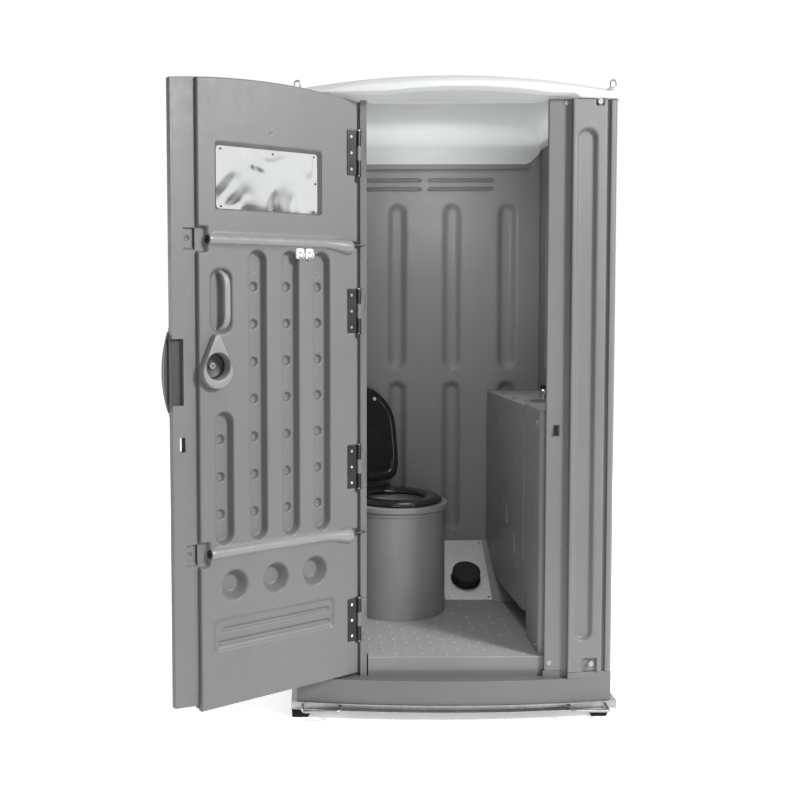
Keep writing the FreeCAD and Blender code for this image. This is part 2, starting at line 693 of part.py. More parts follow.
pull_bed = rrect(516, 1360, 588, 1560, 24)
pull_back = rrect(512, 1356, 592, 1564, 28)
# the backs of the pressings, then the pressings
q.pad("xz", [slot(x, a - 4, b + 4, GWD + 8) for x, a, b in grooves], FW - GDP - DS, FW - DS)
q.pad("xz", [mirror_back], FW - 8 - DS, FW - DS)
q.pad("xz", [louvre_back], FW - 9 - DS, FW - DS)
q.pad("xz", [pull_back], SW, FW - DS)
q.pad("xz", [["circle", CU + CP * k, CZ, CR + 4] for k in (-1, 0, 1)], FW - 14 - DS, FW - DS)
q.pad("xz", [["circle", S("latch_u"), S("latch_z"), S("latch_cup") + 4]], SW, FW - DS)
for zc in (S("closer_high"), S("closer_low")):
    q.pad("xz", [flat_slot(S("closer_start") - 18, S("closer_end") + 12, zc, 60)], FW - 12 - DS, FW - DS)
q.pocket("xz", [slot(x, a, b, GWD) for x, a, b in grooves], FW - GDP, FW)
q.pocket("xz", [mirror_bed], FW - 8, FW)
q.pocket("xz", [louvre], FW - 9, FW)
q.pocket("xz", [pull_bed], FW - 17, FW)
q.pocket("xz", [["circle", CU + CP * k, CZ, CR] for k in (-1, 0, 1)], FW - 14, FW)
q.pocket("xz", [["circle", S("latch_u"), S("latch_z"), S("latch_cup")]], SW, FW)
for zc in (S("closer_high"), S("closer_low")):
    q.pocket("xz", [flat_slot(S("closer_start") - 14, S("closer_end") + 8, zc, 52)], FW - 12, FW)
# notches for the hinges, the knob's tip and the chain's bolts
CH = (S("closer_high"), S("closer_low"))
q.pad("xz", [rect(3, zc - 18, 70, zc + 18) for zc in CH], FW - 16, FW - DS)
q.pocket("xz", [rect(2, zc - 14, 66, zc + 14) for zc in CH], FW - 12, FW)
q.pocket("xz", [rect(PW - 8, S("latch_z") - 55, PW + 1, S("latch_z") + 46)], SW, FW)
q.pocket("xz", [rect(0, 348 + 538.5 * k - 84, 12, 348 + 538.5 * k + 84) for k in range(4)], SW - 1, FW + 1)
q.pocket("xz", [rect(2, 348 + 538.5 * k - 78, 47, 348 + 538.5 * k + 78) for k in range(4)], FW - S("leaf"), FW)
q.pocket("xz", [flat_slot(122, 552, 404, 14), flat_slot(118, 566, 363, 14)], SW, FW)
panel = q.b
# the two closer tunnels: tubes that lie in their beds, open at both ends
tubes = []
for zc in (S("closer_high"), S("closer_low")):
    a, b = S("closer_start"), S("closer_end")
    w = FW - 4
    t = fuse(cyl(S("closer_radius"), b - a, (a, w, zc), "x"), cone(22, S("closer_radius"), 16, (a - 4, w, zc), "x"),
             cone(S("closer_radius"), 21, 14, (b - 12, w, zc), "x"))
    tubes.append(t)
bores = [cyl(S("closer_bore"), 620, (20, FW - 4, zc), "x") for zc in (S("closer_high"), S("closer_low"))]
trim = box((0, -60, 0), (800, SW, 2300))
panel = cut(fuse(panel, *tubes), *(bores + [trim]))
node(on_door(panel), "door_inner_panel")

# ---- pieces that ride on the door
q = Piece()
# the grip: the skin bulges out past the free edge, with a rim round the bulge
q.pad("xz", [[(704, 1100), (FE, 1110, (FE + 22, 1238)), (FE, 1366), (704, 1376)]], -53, -49)
q.pad("xz", [[(704, 1100), (FE, 1110, (FE + 22, 1238)), (FE, 1366), (704, 1376), (704, 1368), (FE - 4, 1359, (FE + 15, 1238)),
              (FE - 4, 1117), (704, 1108)]], -49, -46)
node(on_door(q.b), "door_edge_grip")

q = Piece()
q.pad("xz", [rrect(MU - MW / 2, MZ - MH / 2, MU + MW / 2, MZ + MH / 2, 9)], FW - 8, FW - 6)
MS = [(MU - MW / 2 + 13, MZ + MH / 2 - 14), (MU + MW / 2 - 13, MZ + MH / 2 - 14), (MU - MW / 2 + 13, MZ - MH / 2 + 13),
      (MU + MW / 2 - 13, MZ - MH / 2 + 13), (MU, MZ + MH / 2 - 12)]
q.pocket("xz", [["circle", a, b, Q.of(2.6)] for a, b in MS], FW - 8, FW - 6)
node(on_door(q.b), "door_mirror")
node(on_door(group(*[fuse(cyl(5, 2, (a, FW - 6, b), "y"), cyl(2.4, 2, (a, FW - 8, b), "y")) for a, b in MS])), "mirror_screws")

# inner pull: an upright bar in its pocket, both feet on the pocket's floor
q = Piece()
q.pad("yz", [[(FW - 17, 1372), (FW - 17, 1396), (FW - 10, 1404), (FW - 10, 1518), (FW - 17, 1526), (FW - 17, 1550),
              (FW - 6, 1550), (FW + 2, 1538), (FW + 2, 1384), (FW - 6, 1372)]], 533, 552)
node(on_door(q.b), "inner_pull_handle")

# latch: a teardrop knob with a hollow cup, on a spindle that goes through the skin
LU, LZ, LW, LC = S("latch_u"), S("latch_z"), S("latch_width"), S("latch_cup")
k = Piece()
a = 1 / math.sqrt(2)
k.pad("xz", [[(LU - 52, LZ + 8), (LU - 20, LZ + 92), (LU - 12, LZ + 98, (LU, LZ + 100)), (LU + 12, LZ + 98), (LU + 20, LZ + 92),
              (LU + 52, LZ + 8, (LU, LZ - LW))]], FW + 1.5, FW + 27)
SR8 = S("spindle_radius")
knob = fuse(k.b, cyl(LC - 3, 18, (LU, FW - 16, LZ), "y"))
knob = fuse(cut(knob, cyl(LC - 6, 45, (LU, FW - 13, LZ), "y")), cyl(13, 8, (LU, FW - 13, LZ), "y"),
            cyl(SR8, 43.5, (LU, -62.5, LZ), "y"), cyl(26, 5, (LU, -62.5, LZ), "y"))
node(on_door(knob), "latch_knob")

# coat hook: a white plate with two upturned prongs
h = Piece()
h.pad("xz", [rrect(200, 1596, 274, 1634, 8)], FW, FW + 4)
prongs = [fuse(cyl(6, 20, (x, FW + 4, 1606), "y"), cyl(6, 20, (x, FW + 24, 1606)), cyl(8, 3, (x, FW + 24, 1624))) for x in (216, 258)]
hook = fuse(h.b, *prongs)
hs = [(229, 1616), (245, 1616)]
node(on_door(cut(hook, *[cyl(2.6, 6, (x, FW - 1, z), "y") for x, z in hs])), "coat_hook")
node(on_door(group(*[fuse(cyl(2.4, 4, (x, FW, z), "y"), cyl(4.5, 1.5, (x, FW + 4, z), "y")) for x, z in hs])), "coat_hook_screws")

# closers: a thin bracket on the flange with two low studs, and the bolt that the spring is hooked to
cl = []
for zc in (S("closer_high"), S("closer_low")):
    cl.append(fuse(box((634, GW, zc - 50), (690, GW + 2, zc + 50)), cyl(9, 0.9, (668, GW + 2, zc + 32), "y"),
                   cyl(9, 0.9, (668, GW + 2, zc - 32), "y"), cyl(5, 12, (640, GW + 2, zc), "y")))
node(on_door(group(*cl)), "closer_anchors")

# hinges: the door's leaf carries the outer knuckles, the jamb's leaf the middle one
ZH = [S("hinge_first") + S("hinge_pitch") * k for k in range(4)]
HL, KR, PR, PC, LF = S("hinge_length"), S("knuckle_radius"), S("pin_radius"), S("pin_clearance"), S("leaf")
SCREW_Z = (-55, 0, 55)
leaves, screws = [], []
for zc in ZH:
    a, b = zc - HL / 2, zc + HL / 2
    plate = box((9, FW - LF, a), (45, FW, b))
    ears = [box((0, FW - LF, a), (10, FW, a + 50)), box((0, FW - LF, b - 50), (10, FW, b))]
    knuckles = [cyl(KR, 50, (0, 0, a)), cyl(KR, 50, (0, 0, b - 50))]
    leaf = cut(fuse(plate, *(ears + knuckles)), cyl(PR + PC, HL + 2, (0, 0, a - 1)),
               *[cyl(2.6, 6, (30, FW - LF - 1, zc + d), "y") for d in SCREW_Z])
    leaves.append(leaf)
    for d in SCREW_Z:
        screws.append(fuse(cyl(2.4, LF, (30, FW - LF, zc + d), "y"), cyl(5, 1.5, (30, FW, zc + d), "y")))
node(on_door(group(*leaves)), "door_hinge_leaves")
node(on_door(group(*screws)), "hinge_screws_door")
leaves, screws, pins = [], [], []
for zc in ZH:
    a, b = zc - HL / 2, zc + HL / 2
    plate = box((HX + 8, face, a), (XE, face + LF, b))
    ear = box((HX, face, a + 50.5), (HX + 9, face + LF, b - 50.5))
    leaf = cut(fuse(plate, ear, cyl(KR, HL - 101, (HX, HY, a + 50.5))), cyl(PR + PC, HL, (HX, HY, a)),
               *[cyl(2.6, 6, (HX + 18, face - 1, zc + d), "y") for d in SCREW_Z])
    leaves.append(leaf)
    for d in SCREW_Z:
        screws.append(fuse(cyl(2.4, LF, (HX + 18, face, zc + d), "y"), cyl(4.8, 1.5, (HX + 18, face - 1.5, zc + d), "y")))
    pins.append(fuse(cyl(PR, HL + 4, (HX, HY, a - 3)), cyl(PR + 2.5, 3, (HX, HY, b + 0.5)), cyl(PR + 1.5, 2, (HX, HY, a - 3))))
node(group(*leaves), "jamb_hinge_leaves")
node(group(*screws), "hinge_screws_jamb")
node(group(*pins), "hinge_pins")

# the closers' springs: each lies in its tunnel and comes out to an eye on the jamb
th = math.radians(-VAL["open_angle"])


def world(u, w, z):
    return (VAL["hinge_x"] + u * math.cos(th) - w * math.sin(th), VAL["hinge_y"] + u * math.sin(th) + w * math.cos(th), z)


eye_y = VAL["hinge_y"] + 3 - 7
springs, jamb_eyes = [], []
for name in ("closer_high", "closer_low"):
    zc = VAL[name]
    x_eye = VAL["hinge_x"] + 19
    springs.append(rod([world(330, -7, zc), world(56, -7, zc), (x_eye - 6.6, eye_y - 1.6, zc)], 3.2, 12))
    jamb_eyes.append(fuse(cyl(2.5, 3, (x_eye, eye_y + 4, zc), "y"), cyl(5, 1.5, (x_eye, eye_y + 5.5, zc), "y"),
                          torus(4, 1.3, (x_eye, eye_y, zc), "z")))
node(feature(Part.makeCompound(springs)), "closer_springs")
node(group(*jamb_eyes), "closer_jamb_eyes")

# padlock staple on the right jamb, where the door's slot passes over it
staple = rod([(350, front - 2, 1000), (350, front - 14, 1000), (350, front - 14, 1022), (350, front - 2, 1022)], 2.5, 4)
node(fuse(box((340, front - 2, 992), (360, front, 1030)), feature(staple)), "padlock_staple")

# ---------------------------------------------------------------- waste tank
DX, DY, DR, DT = S("drum_x"), S("drum_y"), S("drum_radius"), S("drum_top")
TS = S("tank_sheet")
RF, RB, RT = S("ramp_foot"), S("ramp_back"), S("ramp_top")


def tank(i):
    """The ramp and the drum as one block, shrunk by i."""
    q = Piece()
    rise = 0.6422
    q.pad("yz", [[(RF + 1.85 * i, FLOOR + (0 if not i else 0)), (RB - i, FLOOR), (RB - i, RT - 1.19 * i)]], Q.of(-498) + i, Q.of(498) - i)
    return fuse(q.b, cyl(DR - i, DT - FLOOR - i, (DX, DY, FLOOR)))


RH = S("rim_hole")
tank_o, tank_i = tank(0), tank(5)
well = cyl(RH, 40, (DX, DY, DT - 20))
wtank = cut(tank_o, tank_i, well)
# a shallow step round the drum, just under its top
wtank = fuse(wtank, cut(cyl(DR + 4, 12, (DX, DY, DT - 14)), cyl(DR - 4, 14, (DX, DY, DT - 15))))
node(wtank, "waste_tank")

# ---- rim, bowl
RR, RTOP = S("rim_radius"), S("rim_top")
sa = math.radians(VAL["seat_angle"])
ux, uy = math.sin(sa), -math.cos(sa)      # towards the sitter
nx, ny = math.cos(sa), math.sin(sa)       # the sitter's left to right


def seat_place(o, z=0):
    """Places a piece built with +X forward along the seat and +Y to its left."""
    move(o, (DX, DY, z), ((0, 0, 1), S("seat_angle") - 90))
    return o


# rim: a ring on the drum, with a shelf behind it for the hinge
q = Piece()
q.pad("xy", [["circle", 0, 0, RR], ["circle", 0, 0, RH]], DT, RTOP)
q2 = Piece()
q2.pad("xy", [[(-140, -150), (-140, 150), (-262, 126), (-274, 112), (-274, -112), (-262, -126)]], DT, RTOP)
rim = cut(fuse(q.b, q2.b), cyl(RH, 60, (0, 0, DT - 10)))
rim = cut(rim, cyl(RH + 8, 6, (0, 0, RTOP - 6)))
node(seat_place(group(rim)), "tank_rim")
# bowl: a light grey dish hung in the rim, with the drop hole in its bottom
bowl = cut(fuse(cyl(RH + 7.5, 5, (0, 0, RTOP - 6)), cone(105, RH - 6, 120, (0, 0, RTOP - 126)), cyl(RH - 6, 6, (0, 0, RTOP - 6.5))),
           cone(101, RH - 10, 120.5, (0, 0, RTOP - 122)), cyl(RH - 10, 20, (0, 0, RTOP - 3)), cyl(75, 20, (0, 0, RTOP - 130)))
node(seat_place(group(bowl)), "toilet_bowl")

# ---- seat, lid and their hinge, built with +X forward from the rim's middle
SRD, SRE, STK, SLO, SAX = S("seat_radius"), S("seat_reach"), S("seat_thick"), S("seat_low"), S("seat_axis")
AXX = -SRE            # the hinge line


def seat_outline(r, back, half_back):
    """An egg: a round front of radius r, running back to a narrower heel."""
    return [(Q.of(0) + 5, Q.of(0) - r, (Q.of(0) + 5 + r, Q.of(0))), (Q.of(5), Q.of(0) + r), (Q.of(back), Q.of(half_back)), (Q.of(back), Q.of(-half_back))]


q = Piece()
q.pad("xy", [seat_outline(SRD, -205, 150)], SLO + 4, SLO + 4 + STK)
q.pocket("xy", [[(-30, -112, (122, 0)), (-30, 112, (-128, 0))]], SLO + 4, SLO + 4 + STK)
arms = [box((-226, s * 70 - 24, SLO + 4), (-200, s * 70 + 24, SLO + 4 + STK)) for s in (-1, 1)]
KN = 11
lugs = [cyl(KN, 40, (AXX, s * 70 - 20, SAX), "y") for s in (-1, 1)]
webs = [box((AXX, s * 70 - 20, SAX - 6), (-215, s * 70 + 20, SAX + 6)) for s in (-1, 1)]
LB = S("lug_bore")
seat = cut(fuse(q.b, *(arms + lugs + webs)), cyl(LB + PC, 300, (AXX, -150, SAX), "y"))
node(seat_place(group(seat)), "toilet_seat")

# lid: built closed, then swung open about the hinge line
q = Piece()
q.pad("xy", [seat_outline(SRD + 2, -218, 178)], SLO + 28, SLO + 28 + 9)
q.pad("xy", [seat_outline(SRD + 2, -218, 178), seat_outline(SRD - 6, -212, 170)], SLO + 25, SLO + 28)
arm = box((AXX - 4, -34, SLO + 26), (-195, 34, SLO + 37))
lid_lug = cyl(KN, 68, (AXX, -34, SAX), "y")
lid_web = box((AXX - 9, -34, SAX), (AXX + 9, 34, SLO + 30))
lid = cut(fuse(q.b, arm, lid_lug, lid_web), cyl(LB + PC, 300, (AXX, -150, SAX), "y"))
lid_bump = group(*[cyl(7, 4, (128, y, SLO + 24)) for y in (-92, 92)])


def open_lid(o, label):
    g = group(o)
    # turned back about the hinge line, then placed like the seat
    ang = -VAL["lid_open"]
    t = FreeCAD.Placement(V(AXX.v, 0, SAX.v), FreeCAD.Rotation(V(0, 1, 0), ang)).multiply(
        FreeCAD.Placement(V(-AXX.v, 0, -SAX.v), FreeCAD.Rotation()))
    g.Placement = t
    node(seat_place(group(g)), label)


open_lid(lid, "toilet_lid")
open_lid(lid_bump, "lid_bumpers")
sb = []
for x, y in ((150, 85), (150, -85), (-60, 150), (-60, -150)):
    sb.append(cyl(9, SLO + 4 - RTOP, (x, y, RTOP)))
node(seat_place(group(*sb)), "seat_bumpers")
blocks = []
for s in (-1, 1):
    lo, hi = (96, 116) if s > 0 else (-116, -96)
    blocks.append(cut(fuse(box((AXX - 12, lo, RTOP), (AXX + 12, hi, SAX)), cyl(12, 20, (AXX, lo, SAX), "y")),
                      cyl(LB, 60, (AXX, lo - 20, SAX), "y")))
for s in (-1, 1):
    lo, hi = (36, 48) if s > 0 else (-48, -36)
    blocks.append(cut(fuse(box((AXX - 11, lo, RTOP), (AXX + 11, hi, SAX)), cyl(11, 12, (AXX, lo, SAX), "y")),
                      cyl(LB, 60, (AXX, lo - 20, SAX), "y")))
node(seat_place(group(*blocks)), "seat_hinge_blocks")
node(seat_place(group(cyl(LB, 236, (AXX, -118, SAX), "y"))), "seat_hinge_pin")

# ---------------------------------------------------------------- foot pump
# built flat with +Z along the ramp's normal and +Y up the ramp, then tipped on to it
PX, PY, PRD = S("pump_x"), S("pump_y"), S("pump_radius")
slope = math.atan2(VAL["ramp_top"] - VAL["floor_top"], VAL["ramp_back"] - VAL["ramp_foot"])
pz = FLOOR + (PY - RF) * ((RT - FLOOR) / (RB - RF))


def on_ramp(o, label):
    g = group(o)
    move(g, (PX, PY, pz), ((1, 0, 0), math.degrees(slope)))
    node(g, label)


plate = cut(box((-98, -120, 0), (97, 225, 2.5)), *[cyl(2.6, 6, (x, y, -1)) for x in (-84, 84) for y in (-106, 210)])
on_ramp(plate, "pump_plate")
on_ramp(group(*[fuse(cyl(2.4, 2.5, (x, y, 0)), cyl(5, 1.6, (x, y, 2.5))) for x in (-84, 84) for y in (-106, 210)]), "pump_screws")
on_ramp(cyl(PRD + 5, 5, (0, 0, 2.5)), "pump_base")
folds = []
for i in range(3):
    z = 7.5 + 10 * i
    folds += [cone(PRD - 8, PRD, 5, (0, 0, z)), cone(PRD, PRD - 8, 5, (0, 0, z + 5))]
bel = cut(fuse(*folds), cyl(PRD - 12, 40, (0, 0, 5)))
on_ramp(bel, "pump_bellows")
cap = cut(fuse(cyl(PRD + 1, 7, (0, 0, 37.5)), cone(PRD + 1, PRD - 10, 5, (0, 0, 44.5))), *[
    cut(cyl(r + 2.5, 1.5, (0, 0, 48)), cyl(r - 2.5, 1.5, (0, 0, 48))) for r in (14, 28, 42)])
on_ramp(cap, "pump_cap")

# ---------------------------------------------------------------- wash unit
UF, US, UL, UR, UX = S("unit_front"), S("unit_split"), S("unit_left"), S("unit_right"), S("unit_rear_left")
UT, UB = S("unit_top"), S("unit_low")


def cabinet(i):
    q = Piece()
    i = float(i)
    x0, x1, y0, y1 = UL + i, UR - i, UF + i, US - 3 - i
    r = Q.of(14)
    k = r * (1 - math.sqrt(0.5))
    q.pad("xy", [[(x0 + r, y0), (x1, y0), (x1, y1), (x0 + r, y1, (x0 + k, y1 - k)), (x0, y1 - r), (x0, y0 + r, (x0 + k, y0 + k))]],
          FLOOR + i, UT + 8 - i)
    return q.b


recess = Piece()
recess.pad("yz", [[(US - 74, FLOOR - 1), (US + 2, FLOOR - 1), (US + 2, 366), (US - 30, 366), (US - 58, 330)]], UL - 2, UL + 60)
lining = Piece()
lining.pad("yz", [[(US - 80, FLOOR + 1), (US + 2, FLOOR + 1), (US + 2, 371), (US - 32, 371), (US - 63, 333)]], UL - 2, UL + 65)
# two shallow ovals pressed into the side that faces the room
oval_a = [(-390, 640, 90), (-330, 880, 70)]
cab = cut(cut(cabinet(0), cut(cabinet(5), lining.b)), recess.b, box((330, -505, FLOOR - 2), (480, -260, FLOOR + 6)))
node(cab, "wash_cabinet")


def tank_block(i):
    q = Piece()
    i = float(i)
    q.pad("yz", [[(US + i, UB + i), (150, UB + i, (245, 303 + i)), (330, 340 + i), (487 - i, 436 + i), (487 - i, UT - i), (US + i, UT - i)]],
          UX + i, UR - i)
    q.pocket("xy", [[(UX - 20, -300), (UL + i, -300), (UL + i, US), (UX + i, 487), (UX - 20, 487)]], 250, 1100)
    return q.b


BX0, BX1, BY0, BY1 = 348, 476, -168, -22
hole = Piece()
hole.pad("xy", [rrect(BX0, BY0, BX1, BY1, 34)], UT - 20, UT + 20)
oval = Piece()
oval.pad("xy", [rrect(310, 60, 328, 104, 8)], UT - 20, UT + 20)
face_ovals = Piece()
for y, z, h in ((60, 610, 74), (-80, 520, 88)):
    face_ovals.pad("yz", [slot(y, z - h / 2, z + h / 2, 34)], 270, 304)
ovals_back = Piece()
for y, z, h in ((60, 610, 74), (-80, 520, 88)):
    ovals_back.pad("yz", [slot(y, z - h / 2 - 5, z + h / 2 + 5, 44)], 270, 309)
wash = cut(tank_block(0), cut(tank_block(5), ovals_back.b), hole.b, oval.b, face_ovals.b)
node(wash, "wash_tank")

dish = Piece()
dish.pad("xy", [rrect(BX0 - 12, BY0 - 12, BX1 + 12, BY1 + 12, 44)], UT, UT + 4)
dish.pad("xy", [rrect(BX0 + 1, BY0 + 1, BX1 - 1, BY1 - 1, 33)], UT - 70, UT + 4)
dish.pocket("xy", [rrect(BX0 + 5, BY0 + 5, BX1 - 5, BY1 - 5, 29)], UT - 66, UT + 4)
dish.pocket("xy", [["circle", (BX0 + BX1) / 2, (BY0 + BY1) / 2, 12]], UT - 70, UT - 66)
node(dish.b, "wash_basin")

TX, TY = 433, 52
tap = fuse(cyl(20, 6, (TX, TY, UT)), cyl(13, 34, (TX, TY, UT)), cone(13, 9, 6, (TX, TY, UT + 34)),
           cyl(8, 84, (TX, TY - 84, UT + 24), "y"), cyl(7, 16, (TX, TY - 80, UT + 10)))
node(tap, "wash_tap")
node(cyl(12, 14, (TX, TY, UT + 40.5)), "wash_tap_cap")
node(group(cyl(7, 4, (UL - 4, US - 92, 232), "x"), cyl(7, 4, (UL - 4, -470, 232), "x"), cyl(7, 4, (UL - 4, -470, 1030), "x")), "wash_unit_bolts")

node(group(*bolts), "panel_bolts")

# ---------------------------------------------------------------- check and export
doc.recompute()
bad = []
for o in LIVE:
    if any(k in ("Invalid", "Error") for k in o.State):
        bad.append("%s %s" % (o.Name, o.State))
names = set()
for label, o in NODES:
    sh = o.Shape
    if o.Label != label or label in names:
        bad.append("label %s" % label)
    names.add(label)
    if sh.isNull() or not sh.isValid() or not sh.Solids or sh.Volume < 1:
        bad.append("shape %s" % label)
if bad:
    raise RuntimeError("; ".join(bad))
os.makedirs("parts", exist_ok=True)
for label, o in NODES:
    o.Shape.exportStep("parts/%s.step" % label)
    b = o.Shape.BoundBox
    print("%-24s solids %3d  vol %9.0f  x %7.1f %7.1f  y %7.1f %7.1f  z %7.1f %7.1f" % (
        label, len(o.Shape.Solids), o.Shape.Volume, b.XMin, b.XMax, b.YMin, b.YMax, b.ZMin, b.ZMax))
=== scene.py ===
import bpy
import bmesh
import math
import numpy as np
from mathutils import Matrix, Vector


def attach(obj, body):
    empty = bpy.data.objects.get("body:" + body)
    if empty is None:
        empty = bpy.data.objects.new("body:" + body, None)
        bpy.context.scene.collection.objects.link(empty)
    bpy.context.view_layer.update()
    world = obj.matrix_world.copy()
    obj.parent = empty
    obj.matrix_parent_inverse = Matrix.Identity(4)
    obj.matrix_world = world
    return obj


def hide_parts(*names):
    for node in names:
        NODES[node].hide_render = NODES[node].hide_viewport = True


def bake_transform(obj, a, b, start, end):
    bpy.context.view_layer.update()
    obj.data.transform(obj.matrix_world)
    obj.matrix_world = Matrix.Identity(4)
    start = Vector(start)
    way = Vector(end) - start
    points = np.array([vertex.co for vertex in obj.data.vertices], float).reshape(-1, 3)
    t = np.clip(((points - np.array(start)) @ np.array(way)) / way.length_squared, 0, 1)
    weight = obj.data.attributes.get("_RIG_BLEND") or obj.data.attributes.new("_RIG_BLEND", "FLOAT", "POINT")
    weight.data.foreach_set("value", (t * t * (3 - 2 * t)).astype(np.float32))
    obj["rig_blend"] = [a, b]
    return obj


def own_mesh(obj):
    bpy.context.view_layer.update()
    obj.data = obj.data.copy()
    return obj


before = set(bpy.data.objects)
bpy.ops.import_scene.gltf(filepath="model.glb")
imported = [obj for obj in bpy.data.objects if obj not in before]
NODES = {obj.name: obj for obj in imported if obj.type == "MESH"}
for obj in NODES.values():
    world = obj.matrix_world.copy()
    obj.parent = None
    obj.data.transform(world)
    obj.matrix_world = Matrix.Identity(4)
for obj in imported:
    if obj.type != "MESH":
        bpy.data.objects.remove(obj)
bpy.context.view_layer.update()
MM = 0.001
PI = math.pi
rng = np.random.default_rng(7)

# ------------------------------------------------------------------ materials


class Mat:
    """A node material with a Principled shader and short helpers."""

    def __init__(self, name):
        self.m = bpy.data.materials.new(name)
        self.m.use_nodes = True
        self.t = self.m.node_tree
        self.t.nodes.clear()
        self.out = self.t.nodes.new("ShaderNodeOutputMaterial")
        self.p = self.t.nodes.new("ShaderNodeBsdfPrincipled")
        self.t.links.new(self.p.outputs[0], self.out.inputs[0])
        self.co = self.t.nodes.new("ShaderNodeTexCoord").outputs["Object"]

    def link(self, a, b):
        self.t.links.new(a, b)

    def mapped(self, scale=(1, 1, 1), rot=(0, 0, 0)):
        n = self.t.nodes.new("ShaderNodeMapping")
        n.inputs["Scale"].default_value = scale
        n.inputs["Rotation"].default_value = rot
        self.link(self.co, n.inputs["Vector"])
        return n.outputs[0]

    def noise(self, scale, detail=3, rough=0.55, vec=None, dist=0.0):
        n = self.t.nodes.new("ShaderNodeTexNoise")
        n.inputs["Scale"].default_value = scale
        n.inputs["Detail"].default_value = detail
        n.inputs["Roughness"].default_value = rough
        n.inputs["Distortion"].default_value = dist
        self.link(vec or self.co, n.inputs["Vector"])
        return n.outputs[0]

    def voronoi(self, scale, feature="F1", vec=None, out=0):
        n = self.t.nodes.new("ShaderNodeTexVoronoi")
        n.feature = feature
        n.inputs["Scale"].default_value = scale
        self.link(vec or self.co, n.inputs["Vector"])
        return n.outputs[out]

    def remap(self, v, lo, hi, a, b):
        n = self.t.nodes.new("ShaderNodeMapRange")
        n.inputs[1].default_value = lo
        n.inputs[2].default_value = hi
        n.inputs[3].default_value = a
        n.inputs[4].default_value = b
        self.link(v, n.inputs[0])
        return n.outputs[0]

    def math(self, op, a, b):
        n = self.t.nodes.new("ShaderNodeMath")
        n.operation = op
        for k, v in ((0, a), (1, b)):
            if isinstance(v, (int, float)):
                n.inputs[k].default_value = v
            else:
                self.link(v, n.inputs[k])
        return n.outputs[0]

    def tone(self, base, factor):
        """The base colour times a factor that varies over the surface."""
        n = self.t.nodes.new("ShaderNodeVectorMath")
        n.operation = "SCALE"
        n.inputs[0].default_value = base
        self.link(factor, n.inputs["Scale"])
        self.link(n.outputs[0], self.p.inputs["Base Color"])

    def mixed(self, fac, a, b):
        n = self.t.nodes.new("ShaderNodeMix")
        n.data_type = "RGBA"
        n.inputs[6].default_value = (*a, 1)
        n.inputs[7].default_value = (*b, 1)
        self.link(fac, n.inputs[0])
        return n.outputs[2]

    def bump(self, height, strength, distance, normal=None):
        n = self.t.nodes.new("ShaderNodeBump")
        n.inputs["Strength"].default_value = strength
        n.inputs["Distance"].default_value = distance
        self.link(height, n.inputs["Height"])
        if normal is not None:
            self.link(normal, n.inputs["Normal"])
        self.link(n.outputs[0], self.p.inputs["Normal"])
        return n.outputs[0]


def plastic(name, base, rough=0.48, mottle=0.05, grain=0.12, streak=0.03, spec=0.45, scuff=0.0):
    """Moulded plastic: cloudy tone, flow streaks, a fine orange-peel grain."""
    m = Mat(name)
    cloud = m.remap(m.noise(2.6, 5, 0.6), 0.3, 0.7, 1 - mottle, 1 + mottle)
    flow = m.remap(m.noise(9, 3, 0.5, m.mapped((1, 1, 0.12))), 0.3, 0.7, 1 - streak, 1 + streak)
    fleck = m.remap(m.noise(160, 2, 0.5), 0.35, 0.65, 0.985, 1.015)
    f = m.math("MULTIPLY", m.math("MULTIPLY", cloud, flow), fleck)
    if scuff:
        lines = m.remap(m.noise(55, 2, 0.7, m.mapped((1, 1, 0.06), (0.3, 0.2, 0.1)), 0.6), 0.67, 0.74, 1.0, 1.0 + scuff)
        f = m.math("MULTIPLY", f, lines)
    m.tone(base, f)
    r = m.remap(m.noise(24, 4, 0.6), 0.3, 0.7, rough - 0.07, rough + 0.07)
    m.link(r, m.p.inputs["Roughness"])
    m.p.inputs["Specular IOR Level"].default_value = spec
    fine = m.bump(m.noise(900, 2, 0.5), grain, 0.0002)
    m.bump(m.noise(38, 3, 0.5), grain * 1.3, 0.0007, fine)
    return m.m


def metal(name, base, rough=0.3, spangle=0.0, brushed=False, vary=0.08):
    m = Mat(name)
    m.p.inputs["Metallic"].default_value = 1.0
    cloud = m.remap(m.noise(18, 4, 0.6), 0.3, 0.7, 1 - vary, 1 + vary)
    if spangle:
        cells = m.remap(m.voronoi(85, "F1", None, 0), 0.0, 0.8, 1 - spangle, 1 + spangle)
        cloud = m.math("MULTIPLY", cloud, cells)
    m.tone(base, cloud)
    if brushed:
        grain = m.noise(420, 2, 0.5, m.mapped((1, 1, 0.02)))
    else:
        grain = m.noise(260, 3, 0.6)
    m.link(m.remap(grain, 0.3, 0.7, rough - 0.08, rough + 0.1), m.p.inputs["Roughness"])
    m.bump(grain, 0.12, 0.0002)
    return m.m


GREY = (0.134, 0.135, 0.136)
door_plastic = plastic("door_grey", GREY, 0.46, 0.035, 0.14, 0.025, 0.45, 0.05)
wall_plastic = plastic("wall_grey", (0.178, 0.179, 0.181), 0.5, 0.05, 0.16, 0.035)
post_plastic = plastic("post_grey", (0.15, 0.151, 0.152), 0.46, 0.04, 0.14, 0.03)
tray_plastic = plastic("tray_grey", (0.128, 0.129, 0.130), 0.5, 0.05, 0.2, 0.02, 0.4, 0.06)
# painted light: the tray's deck above 211.5 mm gets 2.3 times the base tone, brighter than the tray's sides, standing
# in for the key light falling on the floor; from 170 mm up to the deck the tone is 1.42 times the lowest band
t_ = tray_plastic.node_tree
deck_c = t_.nodes.new("ShaderNodeTexCoord")
deck_s = t_.nodes.new("ShaderNodeSeparateXYZ")
deck_painted_light = t_.nodes.new("ShaderNodeMapRange")
t_.links.new(deck_c.outputs["Object"], deck_s.inputs[0])
t_.links.new(deck_s.outputs[2], deck_painted_light.inputs[0])
for k, q in enumerate((0.2085, 0.2115, 1.42, 2.3)):
    deck_painted_light.inputs[k + 1].default_value = q
step_m = t_.nodes.new("ShaderNodeMapRange")
